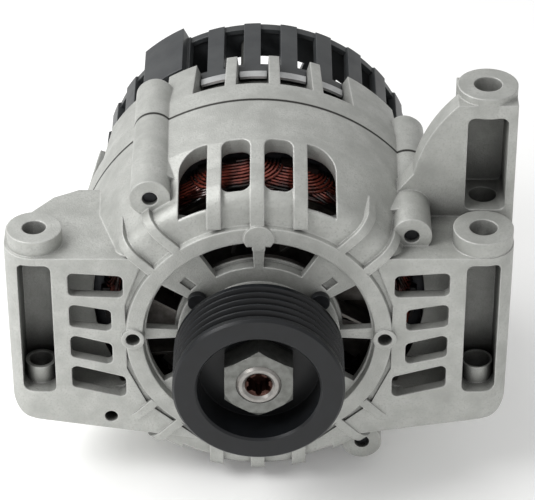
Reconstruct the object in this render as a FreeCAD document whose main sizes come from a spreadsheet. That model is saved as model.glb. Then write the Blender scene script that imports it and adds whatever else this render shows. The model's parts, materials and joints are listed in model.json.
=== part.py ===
import FreeCAD, Part
import math
import os
import Sketcher
from FreeCAD import Placement, Rotation, Vector

# Claw-pole alternator with a belt pulley, in millimetres.
# The shaft lies along Y, the pulley at -Y and the rear cover at +Y; Z is up, along the ear bolts.
# The origin is where the shaft axis meets the middle plane of the belt track.

doc = FreeCAD.newDocument("alternator")
sheet = doc.addObject("Spreadsheet::Sheet", "sizes")

driving_sizes = {
    # belt pulley and shaft nut
    "pulley_radius": 30.2, "pulley_flange": 2.5, "groove_pitch": 3.56, "groove_count": 5,
    "groove_depth": 2.4, "groove_floor": 0.6, "groove_crest": 0.5, "pulley_recess_radius": 21.6,
    "pulley_web_front": 2.0, "pulley_edge": 0.8, "pulley_back_radius": 22.0, "pulley_back_floor": 7.2,
    "pulley_hub_radius": 13.0, "nut_flats": 24.0, "nut_height": 10.1, "nut_chamfer_radius": 12.3,
    # shaft
    "thread_radius": 8.0, "shaft_proud": 0.8, "journal_radius": 8.5, "collar_radius": 10.4,
    "core_radius": 11.0, "rear_neck_radius": 9.0, "rear_journal_radius": 7.5, "tail_radius": 6.0,
    "drive_socket_radius": 4.7, "drive_socket_depth": 9.0, "drive_lobe_radius": 1.1,
    "drive_lobe_circle": 3.6, "countersink_radius": 6.4, "countersink_depth": 1.5,
    # front bearing, its seat and retainer
    "front_bearing_start": 15.2, "front_bearing_width": 12.0, "front_bearing_radius": 20.0,
    "front_ball_radius": 3.35, "front_ball_count": 8, "race_wall": 3.1, "bearing_fit": 0.02,
    "lip_thickness": 2.0, "lip_radius": 14.2, "spacer_radius": 12.4, "hub_radius": 22.2,
    "hub_draft": 0.8, "seal_inset": 0.3, "seal_thickness": 0.8, "cage_half": 0.9,
    "cage_margin": 0.8, "groove_play": 0.06, "pocket_play": 0.1,
    "retainer_thickness": 2.0, "retainer_radius": 30.0, "retainer_bore": 15.0,
    "retainer_screw_circle": 26.6, "retainer_screw_radius": 2.0, "retainer_screw_head": 3.4,
    "retainer_screw_head_height": 2.6, "retainer_screw_angle": 35.0, "retainer_screw_end": 0.6,
    # dome of the front housing
    "ring_front": 19.2, "ring_outer_radius": 48.0, "ring_inner_radius": 41.0,
    "annulus_front": 22.2, "annulus_thickness": 3.2, "annulus_inner_radius": 29.0,
    "face_front": 21.0, "face_radius": 55.0, "shoulder_radius": 61.0, "shoulder_start": 27.0,
    "crown_radius": 66.4, "crown_start": 47.5, "barrel_radius": 67.0, "joint_plane": 73.2,
    "dome_wall": 4.2, "thin_spoke_angle": 3.3, "wide_spoke_angle": 13.3,
    "tapped_hole_radius": 2.55, "tapped_boss_radius": 4.2, "tapped_hole_circle": 45.0,
    "ring_lug_radius": 5.3, "ring_lug_height": 43.5, "ring_edge": 0.6, "boss_proud": 0.8,
    # grille over the front winding, at the top and at the bottom
    "grille_bar": 5.0, "grille_pitch": 15.1, "grille_shift": -0.5, "grille_half_width": 27.6,
    "grille_front": 24.2, "grille_back": 48.0, "grille_floor": 47.5, "grille_corner": 3.2,
    "grille_outer_front": 21.4, "grille_outer_corner": 9.0,
    "bar_proud": 1.8, "grille_cut": 30.0, "bar_round": 8.0, "bar_back": 36.0, "bar_margin": 1.0,
    "spoke_rib_offset": 6.4, "spoke_rib_half": 1.7, "spoke_rib_start": 47.0, "spoke_rib_end": 64.0,
    "pad_angle": 41.0, "pad_start": 30.6, "pad_end": 35.8, "pad_half": 1.6, "pad_depth": 1.2,
    # through bolts and their columns
    "bolt_circle": 66.0, "bolt_angle": 35.2, "bolt_radius": 2.5, "bolt_hole_radius": 2.75,
    "column_radius": 7.2, "column_web_start": 54.0, "column_web_half": 13.0,
    "column_web_front": 37.0, "post_end": 99.0, "post_round": 2.0,
    "column_front": 28.2, "bolt_front": 30.2, "bolt_head_radius": 4.4,
    "bolt_head_height": 4.0, "bolt_head_play": 0.3, "post_back": 93.0,
    # mounting wings with two front ears
    "wing_front": 20.0, "wing_back": 64.2, "wing_half_width": 90.3, "wing_top": 34.0,
    "wing_foot_half_width": 89.6, "wing_foot": -36.5, "wing_belly": -46.0, "wing_belly_x": 22.0,
    "wing_root_x": 47.5, "wing_root_bevel": 7.0, "wing_root_drop": 20.0, "wing_root_side": 28.0,
    "wing_root_tail": 16.0, "wing_end_flat": 2.0, "wing_slope": 14.0, "wing_slope_drop": 5.0,
    "wing_turn": 9.0, "wing_lead": 3.0, "wing_end_back": 41.2, "wing_round": 7.0,
    "ear_x": 79.3, "ear_y": 31.0,
    "ear_boss_top": 40.0, "left_boss_radius": 9.8, "right_boss_radius": 10.7,
    "left_bore_radius": 4.3, "right_bore_radius": 5.0, "pocket_half_width": 6.0,
    "pocket_top": 31.0, "pocket_floor": -24.5, "pocket_depth": 20.0, "pocket_round": 2.5,
    "floor_boss_top": -17.5, "foot_inset": 2.3, "foot_plane": -38.0,
    "wing_hollow_outer": 70.0, "wing_hollow_top": 29.5, "wing_hollow_floor": -26.0,
    "wing_hollow_front": 24.0, "wing_hollow_back": 44.0,
    "louvre_outer": 67.5, "louvre_inner": 48.0, "louvre_short": 52.5, "louvre_height": 9.9,
    "louvre_slope": 0.6, "louvre_round": 2.0, "wing_hole_x": 53.8, "wing_hole_z": -35.6, "wing_hole_radius": 2.4,
    "wing_hole_depth": 8.0,
    "louvre_top": 28.0, "louvre_pitch": 13.4, "louvre_drop": 1.4,
    # rear ear
    "rear_ear_x": 80.7, "rear_ear_y": 57.4, "rear_ear_top": 83.0, "rear_ear_shoulder": 80.2,
    "rear_ear_front": 47.2, "rear_ear_outer": 91.0, "rear_ear_wall": 3.0, "rear_ear_foot": 21.0,
    "rear_pocket_half_width": 7.2, "rear_pocket_top": 75.0, "rear_pocket_floor": 36.6,
    "rear_web_thickness": 8.0, "rear_web_arc": 52.0, "web_top_x": 55.0, "web_top_z": 52.0,
    "web_root_x": 49.0, "web_root_z": 44.0, "web_foot_x": 58.0,
    # stator
    "stator_front": 50.2, "stator_length": 32.0, "stator_radius": 62.4, "stator_seat": 62.5,
    "stator_bore": 47.5, "stator_stop": 60.8, "slot_count": 36, "slot_width": 4.4,
    "slot_bottom": 57.8, "slot_mouth": 2.4, "slot_lip": 1.4, "winding_gap": 0.25,
    "winding_inner": 48.6, "winding_outer": 57.4, "winding_height": 12.6, "winding_crown": 53.5,
    # rotor
    "pole_front": 44.2, "pole_length": 44.0, "pole_disc": 10.8, "pole_radius": 47.1,
    "claw_root_radius": 38.0, "claw_tip_radius": 43.4, "claw_reach": 31.0, "claw_count": 6,
    "claw_gap_root": 23.0, "claw_gap_tip": 38.0, "claw_waist": 31.0, "stub_radius": 24.0,
    "coil_radius": 35.4, "bobbin_wall": 1.4, "bobbin_radius": 36.6,
    "fan_plate": 1.2, "fan_height": 9.4, "fan_radius": 44.0, "fan_plate_radius": 31.0,
    "fan_bore": 13.0, "fan_blades": 10, "fan_petal_angle": 20.0, "fan_blade_sweep": -12.0,
    # rear housing
    "rear_rim_back": 84.5, "rear_step": 0.7, "rear_end": 109.0, "rear_end_radius": 64.2,
    "rear_end_inner": 60.2, "rear_window_floor": 58.4, "rear_stop_radius": 60.4,
    "rear_plate_front": 98.7,
    "rear_plate_thickness": 4.0, "rear_window_front": 84.5,
    "rear_window_angle": 10.4, "rear_fin_pitch": 13.9, "rear_window_turn": 49.9,
    "rear_window_count": 4, "rear_boss_radius": 20.6,
    "rear_bearing_radius": 17.5, "rear_bearing_width": 11.0, "rear_bearing_start": 99.2,
    "rear_ball_radius": 2.95, "rear_ball_count": 7, "sleeve_wall": 0.9, "rear_lip_radius": 12.0,
    "rear_vent_inner": 25.0, "rear_vent_outer": 44.0, "rear_vent_angle": 24.0, "rear_vent_count": 8,
    "rear_lip": 0.8,
    # slip rings and brushes
    "slip_start": 111.6, "slip_ring_radius": 8.2, "slip_ring_width": 6.6, "slip_ring_gap": 2.0,
    "slip_ring_wall": 1.3, "slip_end_wall": 1.2, "brush_length": 17.0, "brush_thick": 4.6,
    "brush_wide": 6.4, "brush_play": 0.1, "brush_travel": 5.0, "brush_contact": 0.1,
    "holder_wall": 1.8, "holder_bottom": 11.0, "holder_top": 42.0, "spring_wire": 0.5,
    "spring_radius": 1.9, "spring_turns": 6, "holder_round": 1.0,
    # rectifier
    "minus_plate_start": 104.4, "plus_plate_start": 115.4, "heat_plate": 3.2,
    "plate_inner": 23.5, "plate_outer": 56.5, "plate_span": 196.0, "plate_middle": -78.0,
    "diode_radius": 6.35, "diode_height": 5.2, "diode_circle": 40.0, "diode_pitch": 48.0,
    "diode_count": 4, "spacer_post_radius": 4.0, "spacer_post_circle": 52.0,
    "spacer_post_pitch": 58.0, "stud_play": 0.5,
    "stud_radius": 4.0, "stud_base": 3.0, "stud_circle": 46.0, "stud_angle": -36.0, "stud_end": 160.0,
    "stud_end_radius": 3.0,
    "stud_nut_flats": 13.0, "stud_nut_height": 6.5,
    # rear cover
    "cover_back": 142.0, "cover_radius": 59.8, "cover_wall": 3.0,
    "cover_edge": 1.5, "cover_recess": 1.1, "cover_screw_head_height": 3.2,
    "cover_rib": 6.3, "cover_rib_count": 27, "cover_rib_angle": 92.5, "cover_gap_front": 112.0,
    "cover_gap_back": 138.0,
    "vent_ring_inner": 40.8, "vent_ring_outer": 46.2, "vent_slot_angle": 8.6, "vent_slot_count": 24,
    "vent_first": 152.5, "vent_pitch": 13.3333,
    "blister_angle": 125.2, "blister_width": 17.0, "blister_radius": 63.6,
    "shaft_end": 130.2, "cover_screw_radius": 2.5, "cover_screw_head": 4.5,
    "cover_screw_circle": 51.0, "cover_screw_first": 30.0, "cover_screw_second": 95.0,
    "cover_screw_third": 172.0,
    # plug socket on the regulator
    "socket_x": -22.0, "socket_z": 31.0, "socket_width": 21.0, "socket_height": 11.6,
    "socket_wall": 1.5, "socket_round": 2.6, "socket_play": 0.3,
    "pin_pitch": 4.4, "pin_thickness": 0.8, "pin_count": 4, "pin_inset": 4.0,
    "socket_depth": 14.0, "socket_back": 148.0, "pin_width": 1.6,
    "regulator_front": 112.0, "regulator_back": 126.5, "regulator_left": -36.0,
    "regulator_low": 20.0,
}

for row, (name, number) in enumerate(driving_sizes.items(), start=1):
    sheet.set("A%d" % row, name)
    sheet.set("B%d" % row, str(number))
    sheet.setAlias("B%d" % row, name)
doc.recompute()


class Size:
    """A length or an angle together with the sheet formula that gives it."""

    def __init__(self, value, formula):
        self.value = value
        self.formula = formula

    def __add__(self, other):
        other = as_size(other)
        return Size(self.value + other.value, "(%s + %s)" % (self.formula, other.formula))

    def __sub__(self, other):
        other = as_size(other)
        return Size(self.value - other.value, "(%s - %s)" % (self.formula, other.formula))

    def __mul__(self, other):
        other = as_size(other)
        return Size(self.value * other.value, "(%s * %s)" % (self.formula, other.formula))

    def __truediv__(self, other):
        other = as_size(other)
        return Size(self.value / other.value, "(%s / %s)" % (self.formula, other.formula))

    def __neg__(self):
        return Size(-self.value, "(0 - %s)" % self.formula)

    def __radd__(self, other):
        return as_size(other) + self

    def __rtruediv__(self, other):
        return as_size(other) / self

    def __rsub__(self, other):
        return as_size(other) - self

    def __rmul__(self, other):
        return as_size(other) * self


class Sizes:
    """Gives each sheet cell by its name, as a Size."""

    def __getattr__(self, name):
        return Size(float(driving_sizes[name]), "sizes.%s" % name)


def as_size(number):
    if isinstance(number, Size):
        return number
    return Size(float(number), repr(float(number)))


def cosine(angle):
    angle = as_size(angle)
    return Size(math.cos(math.radians(angle.value)), "cos(%s * 1 deg)" % angle.formula)


def sine(angle):
    angle = as_size(angle)
    return Size(math.sin(math.radians(angle.value)), "sin(%s * 1 deg)" % angle.formula)


def square_root(number):
    return Size(math.sqrt(number.value), "sqrt(%s)" % number.formula)


s = Sizes()
pieces = []


def bind(item, prop, size):
    size = as_size(size)
    whole = isinstance(getattr(item, prop), int)
    setattr(item, prop, int(round(size.value)) if whole else size.value)
    item.setExpression(prop, size.formula)


# Bodies, sketches and features

def new_body(label):
    body = doc.addObject("PartDesign::Body", label)
    body.Label = label
    body.AllowCompound = True
    return body


def origin_plane(body, role):
    for feature in body.Origin.OriginFeatures:
        if feature.Role == role:
            return feature
    raise ValueError(role)


def new_sketch(body, role, level=0.0):
    """A sketch on one of the body's planes: XZ looks along Y, XY looks down, YZ looks along X."""
    sketch = body.newObject("Sketcher::SketchObject", "sketch")
    sketch.AttachmentSupport = (origin_plane(body, role), [""])
    sketch.MapMode = "FlatFace"
    level = as_size(level)
    if role == "XZ_Plane":
        level = -level
    sketch.AttachmentOffset = Placement(Vector(0, 0, level.value), Rotation())
    sketch.setExpression("AttachmentOffset.Base.z", level.formula)
    return sketch


def pin_point(sketch, geometry, end, x, y):
    """Holds a point of the sketch at x, y, each bound to the sheet."""
    for kind, value in (("DistanceX", as_size(x)), ("DistanceY", as_size(y))):
        index = sketch.addConstraint(Sketcher.Constraint(kind, -1, 1, geometry, end, value.value))
        sketch.setExpression("Constraints[%d]" % index, value.formula)


def outline(sketch, corners):
    """A closed outline. A corner is (x, y), or (x, y, radius) where an arc of that radius
    runs from it to the next corner; a negative radius bends it to the other side."""
    corners = [tuple(as_size(part) for part in corner) for corner in corners]
    first = None
    previous = None
    for index, corner in enumerate(corners):
        after = corners[(index + 1) % len(corners)]
        start = Vector(corner[0].value, corner[1].value, 0)
        end = Vector(after[0].value, after[1].value, 0)
        if len(corner) == 3:
            radius = corner[2]
            chord = end - start
            side = 1.0 if radius.value > 0 else -1.0
            reach = abs(radius.value)
            middle = (start + end) * 0.5
            across = Vector(-chord.y, chord.x, 0).normalize() * side
            rise = reach - math.sqrt(reach ** 2 - chord.Length ** 2 / 4.0)
            edge = Part.Arc(start, middle - across * rise, end)
            number = sketch.addGeometry(edge, False)
            begin, finish = (1, 2) if side > 0 else (2, 1)
            size = radius if side > 0 else -radius
            limit = sketch.addConstraint(Sketcher.Constraint("Radius", number, reach))
            sketch.setExpression("Constraints[%d]" % limit, size.formula)
        else:
            number = sketch.addGeometry(Part.LineSegment(start, end), False)
            begin, finish = 1, 2
        pin_point(sketch, number, begin, corner[0], corner[1])
        if previous is not None:
            sketch.addConstraint(Sketcher.Constraint("Coincident", previous[0], previous[1],
                                                     number, begin))
        else:
            first = (number, begin)
        previous = (number, finish)
    sketch.addConstraint(Sketcher.Constraint("Coincident", previous[0], previous[1],
                                             first[0], first[1]))


def rounded_outline(sketch, corners, radius):
    """A closed outline of straight edges, counter-clockwise, with its corners rounded off."""
    corners = [tuple(as_size(part) for part in corner) for corner in corners]
    places = [Vector(x.value, y.value, 0) for x, y in corners]
    area = sum(one.x * two.y - two.x * one.y for one, two in zip(places, places[1:] + places[:1]))
    way = 1 if area > 0 else -1
    smooth = []
    for index, (x, y) in enumerate(corners):
        before = (places[index - 1] - places[index]).normalize()
        after = (places[(index + 1) % len(places)] - places[index]).normalize()
        run = radius / round(math.tan(before.getAngle(after) / 2), 6)
        smooth.append((x + run * round(before.x, 6), y + run * round(before.y, 6), radius * way))
        smooth.append((x + run * round(after.x, 6), y + run * round(after.y, 6)))
    outline(sketch, smooth)


def circle(sketch, x, y, radius):
    x, y, radius = as_size(x), as_size(y), as_size(radius)
    edge = Part.Circle(Vector(x.value, y.value, 0), Vector(0, 0, 1), radius.value)
    number = sketch.addGeometry(edge, False)
    pin_point(sketch, number, 3, x, y)
    index = sketch.addConstraint(Sketcher.Constraint("Radius", number, radius.value))
    sketch.setExpression("Constraints[%d]" % index, radius.formula)


def rounded_box(sketch, left, right, bottom, top, radius):
    """A rectangle whose corners are rounded off."""
    left, right, bottom, top = as_size(left), as_size(right), as_size(bottom), as_size(top)
    r = as_size(radius)
    outline(sketch, [(left + r, bottom), (right - r, bottom, r), (right, bottom + r),
                     (right, top - r, r), (right - r, top), (left + r, top, r),
                     (left, top - r), (left, bottom + r, r)])


def sector(sketch, inner, outer, start, stop, arcs=1):
    """A piece of a ring between two radii and two angles; a wide one takes two arcs each way."""
    start, stop = as_size(start), as_size(stop)
    step = (stop - start) / arcs
    corners = []
    for number in range(arcs):
        angle = start + step * number
        corners.append((outer * cosine(angle), outer * sine(angle), outer))
    corners.append((outer * cosine(stop), outer * sine(stop)))
    for number in range(arcs):
        angle = stop - step * number
        corners.append((inner * cosine(angle), inner * sine(angle), -as_size(inner)))
    corners.append((inner * cosine(start), inner * sine(start)))
    outline(sketch, corners)


def volume_of(body):
    shape = body.Shape
    return 0.0 if shape.isNull() else shape.Volume


def settle(body, feature, grows, name):
    """Recomputes and makes sure that the feature added or removed material."""
    before = body.volume_before
    doc.recompute()
    after = volume_of(body)
    if grows and after <= before + 1e-6:
        raise RuntimeError("%s of %s adds nothing" % (name, body.Label))
    if not grows and after >= before - 1e-6:
        raise RuntimeError("%s of %s cuts nothing" % (name, body.Label))


class Shaper:
    """Adds features to one body and watches its volume."""

    def __init__(self, label, whole=True):
        self.body = new_body(label)
        self.Label = label
        self.volume_before = 0.0
        if whole:
            pieces.append(self.body)

    @property
    def Shape(self):
        return self.body.Shape

    def finish(self, feature, grows, name):
        settle(self, feature, grows, name)
        self.volume_before = volume_of(self)
        return feature

    def extrude(self, kind, sketch, length, backwards, grows, taper=None):
        feature = self.body.newObject(kind, "feature")
        feature.Profile = sketch
        bind(feature, "Length", length)
        feature.Reversed = backwards
        feature.Refine = False
        if taper is not None:
            bind(feature, "TaperAngle", taper)
        sketch.Visibility = False
        return self.finish(feature, grows, kind)

    def along_y(self, start, length, draw, cut=False, taper=None):
        """Pads or pockets what draw() puts in a sketch at Y = start, towards +Y."""
        sketch = new_sketch(self.body, "XZ_Plane", start)
        draw(sketch)
        if cut:
            return self.extrude("PartDesign::Pocket", sketch, length, False, False, taper)
        return self.extrude("PartDesign::Pad", sketch, length, True, True, taper)

    def up_z(self, start, length, draw, cut=False):
        """Pads or pockets what draw() puts in a sketch at Z = start, upwards."""
        sketch = new_sketch(self.body, "XY_Plane", start)
        draw(sketch)
        if cut:
            return self.extrude("PartDesign::Pocket", sketch, length, True, False)
        return self.extrude("PartDesign::Pad", sketch, length, False, True)

    def turn(self, corners, cut=False):
        """Turns an outline of (y, radius) corners about the shaft axis."""
        sketch = new_sketch(self.body, "YZ_Plane")
        outline(sketch, corners)
        kind = "PartDesign::Groove" if cut else "PartDesign::Revolution"
        feature = self.body.newObject(kind, "feature")
        feature.Profile = sketch
        feature.ReferenceAxis = (sketch, ["H_Axis"])
        feature.Refine = False
        feature.Angle = 360.0
        sketch.Visibility = False
        return self.finish(feature, not cut, kind)

    def around(self, feature, count, grows, angle=360.0):
        """Repeats a feature about the shaft axis."""
        pattern = self.body.newObject("PartDesign::PolarPattern", "pattern")
        pattern.Originals = [feature]
        pattern.Refine = False
        pattern.Axis = (feature.Profile[0], ["N_Axis"])
        bind(pattern, "Angle", angle)
        bind(pattern, "Occurrences", count)
        self.body.Tip = pattern
        return self.finish(pattern, grows, "pattern")

    def around_shaft(self, feature, count, grows):
        """Repeats a feature whose sketch doesn't face along the shaft."""
        pattern = self.body.newObject("PartDesign::PolarPattern", "pattern")
        pattern.Originals = [feature]
        pattern.Refine = False
        pattern.Axis = (origin_plane(self.body, "Y_Axis"), [""])
        pattern.Angle = 360.0
        bind(pattern, "Occurrences", count)
        self.body.Tip = pattern
        return self.finish(pattern, grows, "pattern")


def turned(label, corners):
    piece = Shaper(label)
    piece.turn(corners)
    return piece


def ring(label, start, stop, inner, outer):
    return turned(label, [(start, inner), (stop, inner), (stop, outer), (start, outer)])


def cut_out(label, casting, openings):
    """The piece that is left when the openings are cut out of the casting."""
    piece = doc.addObject("Part::Cut", label)
    piece.Label = label
    piece.Base = casting.body
    piece.Tool = openings.body
    piece.Refine = True
    doc.recompute()
    if piece.Shape.Volume >= casting.Shape.Volume:
        raise RuntimeError("%s has no openings" % label)
    pieces.append(piece)


def solid_group(label, shapes):
    """A node of separate solids that are shaped directly."""
    item = doc.addObject("Part::Feature", label)
    item.Label = label
    item.Shape = Part.makeCompound(shapes)
    pieces.append(item)
    return item


# Places along the shaft that several pieces share

pulley_front = -(s.groove_pitch * s.groove_count / 2 + s.pulley_flange)
pulley_back = -pulley_front
nut_front = s.pulley_web_front - s.nut_height
shaft_front = nut_front - s.shaft_proud
hub_front = s.front_bearing_start - s.lip_thickness
front_bearing_end = s.front_bearing_start + s.front_bearing_width
annulus_back = s.annulus_front + s.annulus_thickness
stator_back = s.stator_front + s.stator_length
pole_back = s.pole_front + s.pole_length
pole_middle = s.pole_front + s.pole_length / 2
rear_bearing_end = s.rear_bearing_start + s.rear_bearing_width
rear_plate_back = s.rear_plate_front + s.rear_plate_thickness
slip_pitch = s.slip_ring_width + s.slip_ring_gap
slip_end = s.slip_start + slip_pitch + s.slip_ring_width + s.slip_end_wall * 2
cover_inner = s.cover_radius - s.cover_wall
cover_plate_front = s.cover_back - s.cover_wall
reach = 1.0  # how far a cut runs past the face it starts from


def at_bolts(sketch, radius, angle=None):
    """One circle on the bolt circle, at the first bolt."""
    angle = s.bolt_angle if angle is None else angle
    circle(sketch, s.bolt_circle * cosine(angle), s.bolt_circle * sine(angle), radius)


# Belt pulley, nut, shaft and spacer

def belt_pulley():
    crest = s.pulley_radius
    root = crest - s.groove_depth
    corners = [(pulley_front, s.pulley_recess_radius + s.pulley_edge),
               (pulley_front, crest - s.pulley_edge), (pulley_front + s.pulley_edge, crest)]
    for number in range(int(s.groove_count.value)):
        start = pulley_front + s.pulley_flange + s.groove_pitch * number
        middle = start + s.groove_pitch / 2
        corners += [(start + s.groove_crest / 2, crest), (middle - s.groove_floor / 2, root),
                    (middle + s.groove_floor / 2, root),
                    (start + s.groove_pitch - s.groove_crest / 2, crest)]
    corners += [(pulley_back - s.pulley_edge, crest), (pulley_back, crest - s.pulley_edge),
                (pulley_back, s.pulley_back_radius), (s.pulley_back_floor, s.pulley_back_radius),
                (s.pulley_back_floor, s.pulley_hub_radius), (pulley_back, s.pulley_hub_radius),
                (pulley_back, s.journal_radius), (s.pulley_web_front, s.journal_radius),
                (s.pulley_web_front, s.pulley_recess_radius),
                (pulley_front + s.pulley_edge, s.pulley_recess_radius)]
    turned("belt_pulley", corners)


def hexagon(sketch, x, y, flats, first_angle):
    corner = flats / 2 / cosine(30)
    outline(sketch, [(x + corner * cosine(first_angle + 60 * k), y + corner * sine(first_angle + 60 * k))
                     for k in range(6)])


def hex_nut(label, x, z, start, height, flats, bore, first_angle, chamfer_radius=None):
    piece = Shaper(label)
    piece.along_y(start, height, lambda k: hexagon(k, x, z, flats, first_angle))
    if chamfer_radius is not None:
        corner = flats / 2 / cosine(30) + reach
        piece.turn([(start, chamfer_radius), (start, corner),
                    (start + (corner - chamfer_radius) * sine(30), corner)], cut=True)
    piece.along_y(start - reach, height + reach * 2, lambda k: circle(k, x, z, bore), cut=True)


def rotor_shaft():
    socket = s.drive_lobe_circle
    piece = turned("rotor_shaft", [
        (shaft_front, 0), (shaft_front, s.thread_radius - 1), (shaft_front + 1, s.thread_radius),
        (s.pulley_web_front + reach, s.thread_radius), (s.pulley_web_front + reach, s.journal_radius),
        (front_bearing_end, s.journal_radius), (front_bearing_end, s.collar_radius),
        (s.pole_front, s.collar_radius), (s.pole_front, s.core_radius), (pole_back, s.core_radius),
        (pole_back, s.rear_neck_radius), (s.rear_bearing_start, s.rear_neck_radius),
        (s.rear_bearing_start, s.rear_journal_radius), (rear_bearing_end, s.rear_journal_radius),
        (rear_bearing_end, s.tail_radius), (s.shaft_end, s.tail_radius), (s.shaft_end, 0)])
    piece.along_y(shaft_front - reach, s.drive_socket_depth, lambda k: circle(k, 0, 0, socket), cut=True)
    lobe = piece.along_y(shaft_front - reach, s.drive_socket_depth,
                         lambda k: circle(k, 0, socket, s.drive_lobe_radius), cut=True)
    piece.around(lobe, 6, False)
    piece.turn([(shaft_front - reach, 0), (shaft_front - reach, s.countersink_radius + reach / 2),
                (shaft_front + s.countersink_depth, s.drive_socket_radius - reach / 2),
                (shaft_front + s.countersink_depth, 0)], cut=True)


# Bearings

def bearing(name, start, width, bore, outer, ball, count):
    """Two grooved races, balls in a cage and a seal on each side."""
    middle = start + width / 2
    track = (bore + outer) / 2
    groove = ball + s.groove_play
    inner_top = bore + s.race_wall
    outer_floor = outer - s.race_wall
    half = square_root(groove * groove - (track - inner_top) * (track - inner_top))
    turned(name + "_inner_race", [
        (start, bore), (start + width, bore), (start + width, inner_top),
        (middle + half, inner_top, -groove), (middle - half, inner_top), (start, inner_top)])
    turned(name + "_outer_race", [
        (start, outer), (start, outer_floor), (middle - half, outer_floor, -groove),
        (middle + half, outer_floor), (start + width, outer_floor), (start + width, outer)])
    balls = []
    pockets = []
    for number in range(int(count.value)):
        turn = 2 * math.pi * number / count.value
        place = Vector(track.value * math.cos(turn), middle.value, track.value * math.sin(turn))
        outward = Vector(math.cos(turn), 0, math.sin(turn))
        balls.append(Part.makeSphere(ball.value, place))
        pockets.append(Part.makeCylinder((ball + s.pocket_play).value, (ball * 2).value,
                                         place - outward * ball.value, outward))
    side = (ball + s.cage_margin).value
    base = Vector(0, middle.value - side, 0)
    band = Part.makeCylinder((track + s.cage_half).value, 2 * side, base, Vector(0, 1, 0))
    band = band.cut(Part.makeCylinder((track - s.cage_half).value, 2 * side, base, Vector(0, 1, 0)))
    solid_group(name + "_balls", balls)
    solid_group(name + "_cage", [band.cut(Part.makeCompound(pockets))])
    seals = Shaper(name + "_seals")
    lip = inner_top + s.seal_inset
    for face in (start + s.seal_inset, start + width - s.seal_inset - s.seal_thickness):
        seals.turn([(face, lip), (face + s.seal_thickness, lip),
                    (face + s.seal_thickness, outer_floor), (face, outer_floor)])


def screw_places(sketch, radius):
    for angle in (s.retainer_screw_angle, 180 - s.retainer_screw_angle,
                  180 + s.retainer_screw_angle, -s.retainer_screw_angle):
        circle(sketch, s.retainer_screw_circle * cosine(angle),
               s.retainer_screw_circle * sine(angle), radius)


def front_bearing_retainer():
    end = front_bearing_end + s.retainer_thickness
    plate = ring("bearing_retainer", front_bearing_end, end, s.retainer_bore, s.retainer_radius)
    plate.along_y(front_bearing_end - reach, s.retainer_thickness + reach * 2,
                  lambda k: screw_places(k, s.retainer_screw_radius), cut=True)
    screws = Shaper("retainer_screws")
    screws.along_y(s.annulus_front - s.retainer_screw_head_height, s.retainer_screw_head_height,
                   lambda k: screw_places(k, s.retainer_screw_head))
    screws.along_y(s.annulus_front, end + s.retainer_screw_end - s.annulus_front,
                   lambda k: screw_places(k, s.retainer_screw_radius))


# Front housing: dome, spokes, grilles, bolt columns, wings and ears

def wing_face(sketch):
    for side in (-1, 1):
        foot = s.wing_foot_half_width
        round_off = s.wing_round
        corners = [(s.wing_belly_x, s.wing_belly), (foot - round_off, s.wing_foot, round_off * side),
                   (foot, s.wing_foot + round_off), (s.wing_half_width, s.wing_top),
                   (s.wing_root_x - s.wing_root_bevel, s.wing_top),
                   (s.wing_root_x, s.wing_top - s.wing_root_drop),
                   (s.wing_root_x, s.wing_top - s.wing_root_drop - s.wing_root_side),
                   (s.wing_root_x - s.wing_root_bevel,
                    s.wing_top - s.wing_root_drop - s.wing_root_side - s.wing_root_tail)]
        outline(sketch, [(corner[0] * side,) + corner[1:] for corner in corners])


def wing_sweep(sketch):
    far = s.wing_half_width + s.wing_turn
    back = s.wing_back + s.wing_turn
    end = s.wing_half_width - s.wing_end_flat
    bend = end - s.wing_slope
    tail = bend - s.wing_turn
    for side in (-1, 1):
        outline(sketch, [(far * side, s.wing_end_back), (end * side, s.wing_end_back),
                         (bend * side, s.wing_back - s.wing_slope_drop), (tail * side, s.wing_back),
                         ((tail - s.wing_lead) * side, back), (far * side, back)])


def wing_tips(sketch):
    """Rounds the front of each wing's end about its ear's axis."""
    middle = s.ear_x
    front = s.wing_front
    turn = s.ear_y - front
    far = middle + turn + reach
    for side in (-1, 1):
        outline(sketch, [(middle * side, front, turn * side), ((middle + turn) * side, s.ear_y),
                         (far * side, s.ear_y), (far * side, front - reach),
                         (middle * side, front - reach)])


def rear_ear_web(sketch):
    outer = s.rear_ear_outer
    inner = s.rear_ear_x - s.right_boss_radius
    outline(sketch, [(outer, s.rear_ear_foot), (outer, s.rear_ear_shoulder),
                     (inner, s.rear_ear_shoulder, s.rear_web_arc), (s.web_top_x, s.web_top_z),
                     (s.web_root_x, s.web_root_z), (s.web_foot_x, s.rear_ear_foot)])


def rear_ear_column(sketch):
    inner = s.rear_ear_x - s.rear_pocket_half_width - s.rear_ear_wall
    top = s.rear_pocket_top + s.rear_ear_wall
    outline(sketch, [(inner, s.rear_ear_foot), (s.rear_ear_outer, s.rear_ear_foot),
                     (s.rear_ear_outer, top), (inner, top)])


def grille_windows(sketch):
    bars = [s.grille_shift + s.grille_pitch * k for k in (-1, 0, 1)]
    edges = [s.grille_shift - s.grille_half_width]
    for bar in bars:
        edges += [bar - s.grille_bar / 2, bar + s.grille_bar / 2]
    edges.append(s.grille_shift + s.grille_half_width)
    rounded_box(sketch, edges[2], edges[3], s.grille_front, s.grille_back, s.grille_corner)
    rounded_box(sketch, edges[4], edges[5], s.grille_front, s.grille_back, s.grille_corner)
    for inner, outer, side in ((edges[1], edges[0], -1), (edges[6], edges[7], 1)):
        wide = s.grille_outer_corner
        outline(sketch, [(inner, s.grille_outer_front), (outer, s.grille_outer_front),
                         (outer, s.grille_back - wide, wide * side),
                         (outer - wide * side, s.grille_back), (inner, s.grille_back)])


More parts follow.
